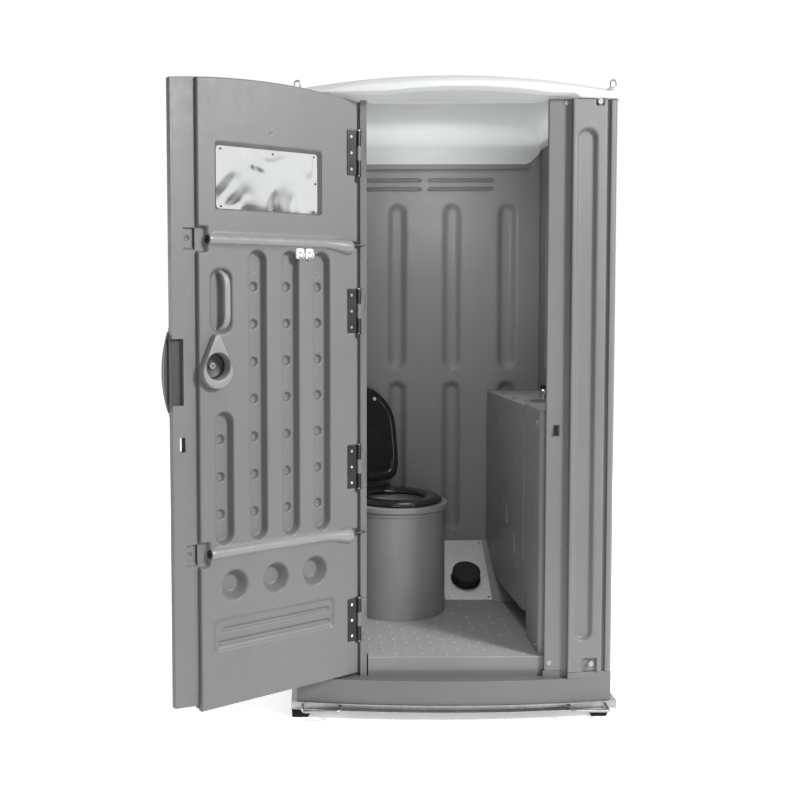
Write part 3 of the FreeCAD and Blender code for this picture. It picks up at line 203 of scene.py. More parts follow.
t_.links.new(deck_s.outputs[2], step_m.inputs[0])
for k, q in enumerate((0.160, 0.170, 1.0 / 1.42, 1.0)):
    step_m.inputs[k + 1].default_value = q
scale_ = next(n for n in t_.nodes if n.bl_idname == "ShaderNodeVectorMath")
old = scale_.inputs["Scale"].links[0].from_socket
mul = t_.nodes.new("ShaderNodeMath")
mul.operation = "MULTIPLY"
t_.links.new(old, mul.inputs[0])
mul2 = t_.nodes.new("ShaderNodeMath")
mul2.operation = "MULTIPLY"
t_.links.new(deck_painted_light.outputs[0], mul2.inputs[0])
t_.links.new(step_m.outputs[0], mul2.inputs[1])
t_.links.new(mul2.outputs[0], mul.inputs[1])
t_.links.new(mul.outputs[0], scale_.inputs["Scale"])
tank_plastic = plastic("tank_grey", (0.235, 0.2365, 0.2385), 0.45, 0.05, 0.15, 0.03)
wash_plastic = plastic("wash_grey", (0.236, 0.2375, 0.2395), 0.46, 0.06, 0.1, 0.004)
tube_plastic = plastic("tube_grey", (0.2, 0.201, 0.202), 0.3, 0.03, 0.1, 0.0, 0.6)
bowl_plastic = plastic("bowl_grey", (0.36, 0.362, 0.36), 0.35, 0.04, 0.08, 0.0)
knob_plastic = plastic("knob_grey", (0.205, 0.2065, 0.208), 0.42, 0.03, 0.14, 0.0)
pull_plastic = plastic("pull_grey", (0.21, 0.2115, 0.213), 0.42, 0.03, 0.14, 0.0)
# a near-black sheet for lining deep recesses: painted shade, not the moulding's own colour
painted_shade_plastic = plastic("painted_shade_grey", (0.042, 0.0425, 0.043), 0.45, 0.08, 0.15, 0.03, 0.35)
white_plastic = plastic("white_plastic", (0.64, 0.64, 0.635), 0.36, 0.02, 0.06, 0.0)
skid_plastic = plastic("skid_black", (0.009, 0.009, 0.0095), 0.62, 0.2, 0.25, 0.0, 0.12)
rubber = plastic("rubber_black", (0.014, 0.014, 0.015), 0.62, 0.15, 0.35, 0.0, 0.35)

galvanised = metal("galvanised", (0.36, 0.364, 0.368), 0.45, 0.12)
steel = metal("bright_steel", (0.62, 0.62, 0.615), 0.24)
dark_steel = metal("dark_steel", (0.055, 0.055, 0.058), 0.42, 0.0, False, 0.2)
spring_steel = metal("spring_steel", (0.16, 0.16, 0.165), 0.32, 0.0, False, 0.2)
plate_steel = metal("plate_steel", (0.6, 0.6, 0.595), 0.5, 0.04, True, 0.05)

# black seat: glossy, with faint dust and orange peel
m = Mat("seat_black")
m.tone((0.0165, 0.0165, 0.0172), m.remap(m.noise(7, 4), 0.3, 0.7, 0.8, 1.25))
m.link(m.remap(m.noise(12, 5, 0.6), 0.3, 0.72, 0.1, 0.22), m.p.inputs["Roughness"])
m.p.inputs["Specular IOR Level"].default_value = 0.55
m.bump(m.noise(60, 2), 0.06, 0.0006)
seat_black = m.m

# the mirror: a polished sheet that isn't quite flat
m = Mat("mirror_sheet")
m.p.inputs["Metallic"].default_value = 1.0
m.tone((0.79, 0.80, 0.805), m.remap(m.noise(5, 3), 0.3, 0.7, 0.95, 1.05))
m.link(m.remap(m.noise(30, 4), 0.3, 0.7, 0.03, 0.09), m.p.inputs["Roughness"])
waves = m.bump(m.noise(6.5, 1, 0.4, None, 0.8), 0.75, 0.012)
mirror_sheet = m.m

# the roof: a white skin that lets light through
m = Mat("roof_white")
crown_s = m.t.nodes.new("ShaderNodeSeparateXYZ")
crown_g = m.t.nodes.new("ShaderNodeTexCoord")
m.link(crown_g.outputs["Object"], crown_s.inputs[0])
crown = m.remap(crown_s.outputs[2], 2.222, 2.268, 1.0, 0.64)
m.tone((0.88, 0.885, 0.885), m.math("MULTIPLY", crown, m.remap(m.noise(2.2, 4, 0.6, m.mapped((1, 2.2, 1))), 0.3, 0.7, 0.95, 1.04)))
m.link(m.remap(m.noise(20, 4), 0.3, 0.7, 0.34, 0.5), m.p.inputs["Roughness"])
m.p.inputs["Specular IOR Level"].default_value = 0.5
peel = m.bump(m.noise(26, 3), 0.2, 0.0012)
tr = m.t.nodes.new("ShaderNodeBsdfTranslucent")
tr.inputs["Color"].default_value = (0.86, 0.87, 0.87, 1)
mx = m.t.nodes.new("ShaderNodeMixShader")
mx.inputs[0].default_value = 0.52
m.link(m.p.outputs[0], mx.inputs[1])
m.link(tr.outputs[0], mx.inputs[2])
m.link(mx.outputs[0], m.out.inputs[0])
roof_white = m.m

# ------------------------------------------------------------------ meshes


def make(name, verts, faces, mat, body, replaces=(), smooth_angle=38, closed=True):
    """A mesh piece from points in millimetres. Its faces are turned outwards."""
    v = np.asarray(verts, float)
    f = faces if isinstance(faces, list) else faces.tolist()
    if closed:
        vol = 0.0
        quads = np.array([q for q in f if len(q) == 4], int).reshape(-1, 4)
        tris = np.array([q for q in f if len(q) == 3], int).reshape(-1, 3)
        for t in (quads[:, [0, 1, 2]], quads[:, [0, 2, 3]], tris):
            if len(t):
                vol += np.einsum("ij,ij->i", v[t[:, 0]], np.cross(v[t[:, 1]], v[t[:, 2]])).sum()
        if vol < 0:
            f = [q[::-1] for q in f]
    me = bpy.data.meshes.new(name)
    me.from_pydata((v * MM).tolist(), [], f)
    me.polygons.foreach_set("use_smooth", np.ones(len(me.polygons), bool))
    me.set_sharp_from_angle(angle=math.radians(smooth_angle))
    me.update()
    o = bpy.data.objects.new(name, me)
    bpy.context.scene.collection.objects.link(o)
    me.materials.append(mat)
    if body:
        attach(o, body)
    if replaces:
        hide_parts(*replaces)
    return o


def grid_faces(nu, nv, base=0, flip=False):
    i = np.arange(nu - 1)[:, None] * nv + np.arange(nv - 1)[None, :]
    q = np.stack([i, i + nv, i + nv + 1, i + 1], -1).reshape(-1, 4) + base
    return q[:, ::-1] if flip else q


def border(nu, nv):
    a = [(i, 0) for i in range(nu)] + [(nu - 1, j) for j in range(1, nv)]
    a += [(i, nv - 1) for i in range(nu - 2, -1, -1)] + [(0, j) for j in range(nv - 2, 0, -1)]
    return np.array(a)


def slab(A, B, mids=()):
    """The closed mesh between two grids of points. mids are grids whose borders lie between."""
    nu, nv = A.shape[:2]
    n = nu * nv
    b = border(nu, nv)
    verts = [A.reshape(-1, 3), B.reshape(-1, 3)]
    faces = [grid_faces(nu, nv), grid_faces(nu, nv, n, True)]
    rings = [b[:, 0] * nv + b[:, 1]]
    off = 2 * n
    for g in mids:
        verts.append(g[b[:, 0], b[:, 1]])
        rings.append(np.arange(len(b)) + off)
        off += len(b)
    rings.append(b[:, 0] * nv + b[:, 1] + n)
    for r, s in zip(rings, rings[1:]):
        faces.append(np.stack([np.roll(r, -1), r, s, np.roll(s, -1)], -1))
    return np.concatenate(verts), np.concatenate(faces)


def axis(lo, hi, step, r=5.0, n=4):
    """Points from lo to hi, with a few more close to both ends."""
    a = [r * (1 - math.cos(PI / 2 * k / n)) for k in range(n)]
    inner = np.linspace(lo + r, hi - r, max(2, int(round((hi - lo - 2 * r) / step)) + 1))
    return np.concatenate([lo + np.array(a), inner, (hi - np.array(a))[::-1]])


def s_soft(x, f):
    return np.where(x > f, x, np.where(x < -f, 0.0, (x + f) ** 2 / (4 * f)))


def ramp(d, w, f=2.5):
    """0 outside (d > 0), 1 deeper in than w, straight in between with soft corners."""
    x = -d
    return (s_soft(x, f) - s_soft(x - w, f)) / w


def circ(u, z, cu, cz, r):
    return np.hypot(u - cu, z - cz) - r


def cap_v(u, z, cu, z0, z1, r):
    return np.hypot(u - cu, z - np.clip(z, z0 + r, z1 - r)) - r


def cap_h(u, z, u0, u1, cz, r):
    return np.hypot(u - np.clip(u, u0 + r, u1 - r), z - cz) - r


def rrect(u, z, u0, z0, u1, z1, r):
    du = np.abs(u - (u0 + u1) / 2) - (u1 - u0) / 2 + r
    dz = np.abs(z - (z0 + z1) / 2) - (z1 - z0) / 2 + r
    return np.hypot(np.maximum(du, 0), np.maximum(dz, 0)) + np.minimum(np.maximum(du, dz), 0) - r


def roundover(d, r):
    """How far an edge drops at a distance d inside it."""
    t = np.clip(1 - d / r, 0, 1)
    return r * (1 - np.sqrt(1 - t * t))


def lathe(profile, seg=64):
    """A closed ring from (radius, height) points. Height runs along +Z."""
    p = np.array(profile, float)
    n = len(p)
    a = np.arange(seg) * 2 * PI / seg
    v = np.stack([p[None, :, 0] * np.cos(a)[:, None], p[None, :, 0] * np.sin(a)[:, None],
                  np.broadcast_to(p[None, :, 1], (seg, n))], -1).reshape(-1, 3)
    f = []
    for i in range(seg):
        j = (i + 1) % seg
        for k in range(n):
            m_ = (k + 1) % n
            f.append([i * n + k, j * n + k, j * n + m_, i * n + m_])
    return v, np.array(f)


def lathe_solid(profile, seg=64):
    """A solid of revolution whose profile starts and ends on the axis."""
    p = np.array(profile, float)
    inner = p[1:-1]
    n = len(inner)
    a = np.arange(seg) * 2 * PI / seg
    v = np.stack([inner[None, :, 0] * np.cos(a)[:, None], inner[None, :, 0] * np.sin(a)[:, None],
                  np.broadcast_to(inner[None, :, 1], (seg, n))], -1).reshape(-1, 3)
    v = np.concatenate([v, [[0, 0, p[0, 1]], [0, 0, p[-1, 1]]]])
    f = []
    for i in range(seg):
        j = (i + 1) % seg
        for k in range(n - 1):
            f.append([i * n + k, j * n + k, j * n + k + 1, i * n + k + 1])
        f.append([seg * n, j * n, i * n])
        f.append([seg * n + 1, i * n + n - 1, j * n + n - 1])
    return v, f


def placed(v, origin, ex, ey, ez):
    v = np.asarray(v)
    return np.asarray(origin)[None] + v[:, :1] * np.asarray(ex)[None] + v[:, 1:2] * np.asarray(ey)[None] + v[:, 2:3] * np.asarray(ez)[None]


def joined(parts):
    vs, fs, off = [], [], 0
    for v, f in parts:
        v = np.asarray(v)
        vs.append(v)
        fs += [[int(x) + off for x in q] for q in (f if isinstance(f, list) else f.tolist())]
        off += len(v)
    return np.concatenate(vs), fs


def tube(path, r, seg=10):
    """A round wire along a path of points, closed at both ends."""
    p = np.asarray(path, float)
    t = np.gradient(p, axis=0)
    t /= np.linalg.norm(t, axis=1)[:, None]
    n0 = np.cross(t[0], [0.3, 0.2, 0.93])
    n0 /= np.linalg.norm(n0)
    rings = []
    n = n0
    for k in range(len(p)):
        n = n - t[k] * np.dot(n, t[k])
        n /= np.linalg.norm(n)
        b = np.cross(t[k], n)
        a = np.arange(seg) * 2 * PI / seg
        rr = r[k] if hasattr(r, "__len__") else r
        rings.append(p[k] + rr * (np.cos(a)[:, None] * n + np.sin(a)[:, None] * b))
    v = np.concatenate(rings + [p[:1], p[-1:]])
    f = []
    N = len(p)
    for k in range(N - 1):
        for i in range(seg):
            j = (i + 1) % seg
            f.append([k * seg + i, k * seg + j, (k + 1) * seg + j, (k + 1) * seg + i])
    for i in range(seg):
        j = (i + 1) % seg
        f.append([N * seg, j, i])
        f.append([N * seg + 1, (N - 1) * seg + i, (N - 1) * seg + j])
    return v, f


# ------------------------------------------------------------------ the door
HX, HY, OPEN = -332.0, -540.0, math.radians(144)
CA, SA = math.cos(OPEN), math.sin(OPEN)


def D(u, w, z):
    """A point of the door's own frame, in the open pose."""
    u, w, z = np.broadcast_arrays(np.asarray(u, float), np.asarray(w, float), np.asarray(z, float))
    return np.stack([HX + u * CA + w * SA, HY - u * SA + w * CA, z], -1)


def pan_top(u):
    return 2137.5 + 26.0 * (1 - ((u - 359) / 359.0) ** 2)


HINGES = [348 + 538.5 * k for k in range(4)]
CLOSERS = (1652, 657)
grooves = [(413, 682, 1624), (284, 682, 1624), (156, 682, 1624), (543, 682, 1108)]
cols = list(np.arange(8.5, 629, 3.4)) + [3, 3.6, 4.8, 6.4, 629.5, 631, 631.7, 632]
for cu, _, _ in grooves:
    cols = [q for q in cols if not cu - 37.8 < q < cu + 37.8]
    cols += list(np.linspace(cu - 37, cu - 22, 11)) + list(np.linspace(cu - 20, cu + 20, 19)) + list(np.linspace(cu + 22, cu + 37, 11))
rows_ = [155, 155.5, 156.6, 158.2] + list(np.arange(161, 2155, 3.3)) + [2157.5, 2159, 2159.6, 2160]
for zc in (1506, 1385, 1263, 1141.5, 1018, 895, 773):
    rows_ = [q for q in rows_ if abs(q - zc) > 21] + list(np.linspace(zc - 20, zc + 20, 19))
rows_ = sorted(rows_)
U0, T0 = np.meshgrid(np.array(sorted(cols)), (np.array(rows_) - 155) / 2005.0, indexing="ij")
left = np.full_like(T0, 3.0)
for zc in HINGES:
    left = np.where(np.abs(155 + T0 * 2005 - zc) < 82, 13.5, left)
u = np.where(U0 < 60, 60 - (60 - U0) * (60 - left) / 57.0, U0)
z = 155 + T0 * (pan_top(u) - 155)
dep = [np.zeros_like(u)]
for cu, z0, z1 in grooves:
    dep.append(27.0 * ramp(cap_v(u, z, cu, z0, z1, 35), 9.0, 2.4))
ROWS = (1506, 1385, 1263, 1141.5, 1018, 894, 771)
extra = np.zeros_like(u)
for cu, rows in ((412, ROWS), (282, ROWS), (154, ROWS), (542, (1017, 896, 775))):
    for zc in rows:
        extra = np.maximum(extra, 11.5 * ramp(circ(u, z, cu, zc, 16.5), 6.0, 1.8))
# faint moulding marks at the ends of the grooves
for cu, zc in ((412, 1562), (154, 1552), (154, 732), (542, 722), (412, 727), (282, 725)):
    extra = np.maximum(extra, 1.2 * ramp(np.abs(circ(u, z, cu, zc, 9)) - 2.4, 1.8, 1.2))
# the mirror's bed: sloping walls on top and towards the hinge, steep ones below
q_ = np.hypot(np.maximum(np.maximum(1 - (u - 154) / 10.0, 1 - (569 - u) / 10.0), 0), np.maximum(np.maximum(1 - (1958.5 - z) / 10.5, 1 - (z - 1745) / 5.0), 0))
dep.append(16.6 * np.clip(1 - q_, 0, 1) ** 0.9)
# the closers' wires leave through short notches in the hinge edge
for zc in (1652, 657):
    dep.append(10.5 * ramp(rrect(u, z, -30, zc - 11, 37, zc + 11, 4), 2.5, 1.0))
dep.append(24.0 * ramp(rrect(u, z, 508, 1354, 591, 1564, 36), 15, 3.0))
dep.append(26.0 * ramp(circ(u, z, 577, 1255, 47), 4.0, 2.0))
for k in (-1, 0, 1):
    dep.append(37.0 * ramp(circ(u, z, 346 + 160 * k, 547, 50), 21.0, 3.0))
bed = 8.0 * ramp(rrect(u, z, 104, 337, 586, 444, 18), 9.0, 2.5)
slots = np.maximum(8.5 * ramp(cap_h(u, z, 120, 552, 404, 9.5), 7.0, 1.6), 9.5 * ramp(cap_h(u, z, 116, 566, 361, 11), 9.0, 1.6))
dep.append(bed + slots)
dep.append(3.2 * ramp(circ(u, z, 359, 1997, 4.5), 2.0, 1.0))
for zc in CLOSERS:
    dep.append(19.5 * ramp(rrect(u, z, 597, zc - 41, 680, zc + 41, 8), 4.0, 2.0))
    # the moulding swells a little round the tube
    dep.append(-4.0 * ramp(cap_h(u, z, 66, 590, zc, 23), 9.0, 4.0))
for zc in HINGES:
    dep.append(2.8 * ramp(rrect(u, z, -10, zc - 78, 49, zc + 78, 3), 1.6, 0.8))
deep = np.maximum.reduce([d for d in dep if d.min() >= -0.01])
rise = np.minimum.reduce([d for d in dep if d.min() < -0.01] + [np.zeros_like(u)])
deep = np.where(deep > 0.05, deep, rise)
edge = np.minimum.reduce([632 - u, z - 155, pan_top(u) - z, u - left + 1.5])
w = -3.0 - deep - extra - roundover(edge, 6.0)
# the pan isn't perfectly flat: wide, shallow waves of the moulding
w = w + 0.35 * np.sin(u / 83.0 + 0.6) * np.sin(z / 190.0 + 1.1)
inside = (u > 70) & (u < 620) & (z > 212) & (z < pan_top(u) - 18)
w = np.where(inside, np.maximum(w, -42.0), np.maximum(w, -23.6))
A = D(u, w, z)
B = D(u, np.where(inside, np.minimum(-24.0, w - 2.0), -24.0), z)
v, f = slab(A, B)
door_face = make("door_inner_face", v, f, door_plastic, "door", ["door_inner_panel"], 60)

# the outer skin keeps its shape, with windows where the pan's pressings and the closers' notches go in
EXU, EXW = D(1, 0, 0) - D(0, 0, 0), D(0, 1, 0) - D(0, 0, 0)


def prism(points, w0, w1):
    """A closed prism over (u, z) points, from w0 to w1."""
    n = len(points)
    vv = np.concatenate([D([q[0] for q in points], w0, [q[1] for q in points]), D([q[0] for q in points], w1, [q[1] for q in points])])
    ff = [list(range(n)), list(range(2 * n - 1, n - 1, -1))] + [[(k + 1) % n, k, k + n, (k + 1) % n + n] for k in range(n)]
    return vv, ff


us = np.linspace(66, 622, 24)
cutters = [prism([(66, 206)] + [(622, 206)] + [(float(q), float(pan_top(q)) - 13) for q in us[::-1]], -22.0, -28.8)]
for zc in CLOSERS:
    cutters.append(prism([(635.5, zc - 35), (675.5, zc - 35), (675.5, zc + 35), (635.5, zc + 35)], -15.0, -25.0))
v, f = joined(cutters)
cutter = make("cutter", v, f, door_plastic, None)
src = NODES["door_outer_skin"]
work = src.copy()
work.data = src.data.copy()
work.hide_render = False
bpy.context.scene.collection.objects.link(work)
work.modifiers.clear()
md = work.modifiers.new("Weld", "WELD")
md.merge_threshold = 2e-5
md = work.modifiers.new("Windows", "BOOLEAN")
md.operation = "DIFFERENCE"
md.solver = "EXACT"
md.object = cutter
me = bpy.data.meshes.new_from_object(work.evaluated_get(bpy.context.evaluated_depsgraph_get()))
place = work.matrix_world.copy()
bpy.data.objects.remove(work)
bpy.data.objects.remove(cutter)
for nm in [a.name for a in me.attributes if a.name == "custom_normal"]:
    me.attributes.remove(me.attributes[nm])
me.transform(place)
me.materials.clear()
me.materials.append(door_plastic)
me.polygons.foreach_set("material_index", np.zeros(len(me.polygons), int))
me.polygons.foreach_set("use_smooth", np.ones(len(me.polygons), bool))
skin = bpy.data.objects.new("door_skin_shell", me)
bpy.context.scene.collection.objects.link(skin)
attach(skin, "door")
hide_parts("door_outer_skin")
own_bevel = [(skin, 2.2)]

# closer tubes: a tube with a socket at the free end and a mouth that bells out downwards at the hinge
parts, plugs, trays = [], [], []
for zc in CLOSERS:
    out = [(33, 24.2), (36, 25.6), (44, 26.2), (56, 25.4), (72, 23.2), (95, 20.2), (120, 18.0), (145, 17.0), (560, 17.0), (572, 17.6),
           (584, 18.7), (592, 18.9), (597, 17.4)]
    inn = [(597, 13.6), (560, 11.2), (140, 11.2), (80, 14), (33, 21.0)]
    v, f = lathe([(r, a) for a, r in out + inn], 56)
    v[:, 1] -= np.interp(v[:, 2], [33, 60, 100, 150], [9.2, 8.0, 3.0, 0.0])
    origin = D(0, -7.0, zc)[()]
    parts.append((placed(v, origin, EXW, np.array([0, 0, 1.0]), EXU), f))
    v, f = lathe_solid([(0, 566), (12.6, 566), (12.6, 586), (13.2, 588), (13.2, 599), (12, 600.5), (8.2, 600.5), (7.8, 597.5),
                        (4.6, 597.5), (4.4, 603), (3.4, 604), (0, 604)], 32)
    plugs.append((placed(v, origin, EXW, np.array([0, 0, 1.0]), EXU), f))
    # the notch goes on across the flange as a shallow tray with a dimple
    gu, gz = np.meshgrid(axis(633.2, 678, 2.2, 2, 2), axis(zc - 37.5, zc + 37.5, 2.2, 2, 2), indexing="ij")
    q_ = np.hypot(np.maximum(1 - (676.5 - gu) / 4.0, 0), np.maximum(np.maximum(1 - (zc + 35.8 - gz) / 3.0, 1 - (gz - zc + 35.8) / 10.0), 0))
    sink = 11.0 * np.clip(1 - q_, 0, 1) ** 0.9
    sink = sink + 6.0 * ramp(circ(gu, gz, 657, zc + 2, 9.5), 5.0, 1.2) + 0.8 * roundover(np.minimum.reduce([gu - 633.2, 678 - gu, gz - zc + 37.5, zc + 37.5 - gz]), 1.5)
    v, f = slab(D(gu, -19.7 - sink, gz), D(gu, -21.2 - sink, gz))
    trays.append((v, f))
v, f = joined(parts)
tubes = make("door_closer_tubes", v, f, tube_plastic, "door", [], 35)
v, f = joined(plugs)
make("closer_plugs", v, f, dark_steel, "door", [], 35)
v, f = joined(trays)
make("closer_trays", v, f, door_plastic, "door", ["closer_anchors"], 50)

# the pull: a bar that stands out of its recess
path = np.array([(549, -25, 1556), (547, -19, 1552), (542, -11, 1546.5), (536, -4, 1538), (532.5, -1, 1526), (531, 0, 1508), (531, 0, 1485),
                 (531, 0, 1462), (531, 0, 1438), (531, 0, 1414), (532.5, -1, 1397), (536, -4, 1385), (542, -11, 1376.5), (547, -19, 1371),
                 (549, -25, 1367)], float)
half = np.array([(7.5, 6)] * 2 + [(9, 6), (10.5, 6.2)] + [(11.5, 6.5)] * 7 + [(10.5, 6.2), (9, 6)] + [(7.5, 6)] * 2)
tg = np.gradient(path, axis=0)
tg /= np.linalg.norm(tg, axis=1)[:, None]
rr_ = []
na = 24
for c_, t_, (ha, hb) in zip(path, tg, half):
    e1 = np.array([1.0, 0, 0]) - t_ * t_[0]
    e1 /= np.linalg.norm(e1)
    e2 = np.cross(t_, e1)
    a = np.arange(na) * 2 * PI / na
    ca, sa = np.cos(a), np.sin(a)
    rr_.append(c_ + (np.sign(ca) * np.abs(ca) ** 0.75 * ha)[:, None] * e1 + (np.sign(sa) * np.abs(sa) ** 0.75 * hb)[:, None] * e2)
pv = np.concatenate(rr_)
f = []
for k in range(len(path) - 1):
    for i in range(na):
        j = (i + 1) % na
        f.append([k * na + i, k * na + j, (k + 1) * na + j, (k + 1) * na + i])
f += [list(range(na)), list(range(len(pv) - 1, len(pv) - na - 1, -1))]
pull = make("pull_bar", D(pv[:, 0], pv[:, 1], pv[:, 2]), f, pull_plastic, "door", ["inner_pull_handle"], 50)

# the knob: a teardrop with a deep cup round its spindle
NK = 144
a = np.arange(NK) * 2 * PI / NK + PI / 2
cx_, cz_, R1, R2, zt = 577.0, 1238.5, 54.5, 12.5, 1342.5
hc = 1254.6
tb = math.asin((R1 - R2) / (zt - cz_))


def reach(ang):
    """The distance from the hole's centre to the teardrop's outline."""
    du, dz = math.cos(ang), math.sin(ang)
    lo_, hi_ = 5.0, 130.0
    for _ in range(40):
        m_ = (lo_ + hi_) / 2
        x, y = m_ * du, hc + m_ * dz
        # signed distance to the hull of two circles
        h_ = zt - cz_
        px, py = abs(x), y - cz_
        b_ = (R1 - R2) / h_
        a_ = math.sqrt(1 - b_ * b_)
        k_ = -b_ * px + a_ * py
        if k_ < 0:
            d_ = math.hypot(px, py) - R1
        elif k_ > a_ * h_:
            d_ = math.hypot(px, py - h_) - R2
        else:
            d_ = px * a_ + py * b_ - R1
        if d_ > 0:
            hi_ = m_
        else:
            lo_ = m_
    return lo_


far = np.array([reach(q) for q in a])
FRONT = 22.0
ringp = [(None, 44.0, FRONT - 1.2), (None, 44.6, FRONT - 0.3), (None, 45.6, FRONT), (0.5, 0, FRONT), (-3.6, 0, FRONT), (-1.9, 0, FRONT - 0.5),
         (-0.7, 0, FRONT - 1.6), (0.0, 0, FRONT - 3.4), (0.5, 0, 12), (1.0, 0, 3), (1.2, 0, -0.6), (0.2, 0, -1.7), (-3, 0, -1.8),
         (None, 43.2, -1.8), (None, 43.0, -24.2), (None, 42.0, -25.2), (None, 40.2, -25.2), (None, 40.2, -22.0), (None, 41.4, 0)]
pts = []
for k_, r_, w_ in ringp:
    rad = np.full(NK, float(r_)) if k_ is None else (45.6 + (far - 45.6) * 0.5 if k_ == 0.5 and r_ == 0 and w_ == FRONT else far + k_)
    pts.append(np.stack([cx_ + rad * np.cos(a), np.full(NK, float(w_)), hc + rad * np.sin(a)], -1))
pts = np.array(pts)
m_ = len(ringp)
idx = np.arange(m_ * NK).reshape(m_, NK)
f = np.stack([idx, np.roll(idx, -1, axis=1), np.roll(np.roll(idx, -1, axis=1), -1, axis=0), np.roll(idx, -1, axis=0)], -1).reshape(-1, 4)
pv = pts.reshape(-1, 3)
kparts = [(D(pv[:, 0], pv[:, 1], pv[:, 2]), f)]
v, f = lathe_solid([(0, -25.0), (40.6, -25.0), (40.6, -22.6), (12.6, -22.2), (11.4, -21.2), (11.0, -15.5), (10.2, -14.6), (4.6, -14.6), (4.2, -18.6), (0, -18.6)], 48)
kparts.append((placed(v, D(577, 0, 1255)[()], EXU, np.array([0, 0, 1.0]), EXW), f))
v, f = lathe_solid([(0, -63.5), (24, -63.5), (26, -62), (26, -58.5), (8, -57.5), (8, -24.6), (0, -24.6)], 40)
kparts.append((placed(v, D(577, 0, 1255)[()], EXU, np.array([0, 0, 1.0]), EXW), f))
v, f = joined(kparts)
knob = make("knob_teardrop", v, f, knob_plastic, "latch", ["latch_knob"], 42)

# the knob's well is lined with a dark sheet: painted shade in the cup
v, f = lathe_solid([(0, -22.1), (39.6, -22.1), (39.9, -21.0), (40.0, -9.0), (38.6, -8.6), (37.2, -19.0), (34.5, -20.7), (0, -20.9)], 64)
make("knob_well_painted_shade", placed(v, D(577, 0, 1255)[()], EXU, np.array([0, 0, 1.0]), EXW), f, painted_shade_plastic, "latch", ["latch_knob"], 42)

# the moulded grip at the door's free edge: a bowed plate with a rounded lip, and a recess beside it lined with a dark
# sheet that paints its shade
GE = 718.0


def grip_bow(z_):
    return max(0.0, math.sqrt(383.36 ** 2 - (z_ - 1238.0) ** 2) - 361.36)


def loft(sections):
    g_ = np.array(sections)
    n_, c_ = g_.shape[:2]
    ix = np.arange(n_ * c_).reshape(n_, c_)
    ff = np.stack([ix[:-1], ix[1:], np.roll(ix, -1, axis=1)[1:], np.roll(ix, -1, axis=1)[:-1]], -1).reshape(-1, 4).tolist()
    ff.append(ix[0].tolist())
    ff.append(ix[-1][::-1].tolist())
    return g_.reshape(-1, 3), ff


def along(z_, sec):
    q = np.array(sec, float)
    return D(q[:, 0], q[:, 1], np.full(len(q), float(z_)))


rows_g = []
for z_ in np.linspace(1110.6, 1365.4, 73):
    b_ = grip_bow(z_)
    rows_g.append(along(z_, [(704.5, -52.0), (704.5, -47.8), (706.0, -47.0), (GE - 3 + 0.2 * b_, -47.6), (GE - 1 + 0.4 * b_, -49.4), (GE + 0.56 * b_, -49.7), (GE + 0.64 * b_, -48.0),
                             (GE + 0.71 * b_, -46.7), (GE + 0.8 * b_, -46.1), (GE + 0.9 * b_, -46.3), (GE - 0.2 + 0.97 * b_, -47.2), (GE + b_, -49.2), (GE - 0.5 + b_, -51.8),
                             (GE - 2.4 + b_, -52.9), (706.0, -52.9)]))
v, f = loft(rows_g)
make("door_grip_lip", v, f, door_plastic, "door", ["door_edge_grip"], 40)
# the recess's window floor and the bow's channel get a dark lining: painted shade
rows_g = [along(z_, [(679.6, -36.6), (679.6, -34.0), (681.0, -35.0), (699.0, -35.3), (GE - 3.0, -35.1), (GE - 1.4, -35.9), (GE - 1.4, -36.6)]) for z_ in (1134.8, 1136.0, 1238.0, 1340.0, 1341.2)]
v, f = loft(rows_g)
lining = [(v, f)]
rows_g = []
for z_ in np.linspace(1136.0, 1340.0, 49):
    b_ = grip_bow(z_)
    rows_g.append(along(z_, [(GE - 4, -49.9), (GE - 4, -46.9), (GE + 0.3 * b_, -47.1), (GE + 0.6 * b_, -46.9), (GE + 0.655 * b_, -47.4), (GE + 0.62 * b_, -49.0), (GE + 0.5 * b_, -49.9)]))
lining.append(loft(rows_g))
v, f = joined(lining)
make("door_grip_painted_shade", v, f, painted_shade_plastic, "door", ["door_edge_grip"], 40)

# the mirror: a thin sheet at the bottom of its bed, held by small dark screws
gu, gz = np.meshgrid(axis(164.5, 558.5, 6.0, 12, 6), axis(1750.5, 1947.5, 6.0, 12, 6), indexing="ij")
du, dz = np.abs(gu - 361.5) - 197 + 12, np.abs(gz - 1849) - 98.5 + 12
both = (du > 0) & (dz > 0)
rad_ = np.hypot(du, dz)
k_ = np.where(both, np.maximum(du, dz) / np.maximum(rad_, 1e-6), 1.0)
gu = np.where(both, 361.5 + np.sign(gu - 361.5) * (185 + du * k_), gu)
gz = np.where(both, 1849 + np.sign(gz - 1849) * (86.5 + dz * k_), gz)
bow_ = 0.8 * np.sin(gu / 61.0 + 0.7) * np.sin(gz / 47.0) + 0.5 * np.sin(gu / 27.0 + gz / 39.0)
v, f = slab(D(gu, -16.4 + 0.35 * bow_, gz), D(gu, np.full_like(gu, -19.2), gz))
make("mirror_plate", v, f, mirror_sheet, "door", ["door_mirror"], 60)
parts = []
for mu_, mz_ in ((542, 1938), (343, 1935), (541, 1758), (341, 1757), (172, 1850), (178, 1938), (180, 1757)):
    v, f = lathe_solid([(0, -17.5), (3.6, -17.5), (3.5, -15.4), (2.6, -14.7), (1.0, -14.6), (0.8, -15.2), (0, -15.2)], 16)
    parts.append((placed(v, D(mu_, 0, mz_)[()], EXU, np.array([0, 0, 1.0]), EXW), f))
v, f = joined(parts)
make("mirror_plate_screws", v, f, dark_steel, "door", ["mirror_screws"], 40)
parts = []
for cu in (246.5, 208.5):
    v, f = lathe_solid([(0, -1), (3.4, -1), (3.3, 0.9), (2.2, 1.5), (0.9, 1.6), (0.7, 0.9), (0, 0.9)], 16)
    parts.append((placed(v, D(cu, 0, 1619)[()], EXU, np.array([0, 0, 1.0]), EXW), f))
v, f = joined(parts)
make("hook_screws", v, f, dark_steel, "door", ["coat_hook_screws"], 40)

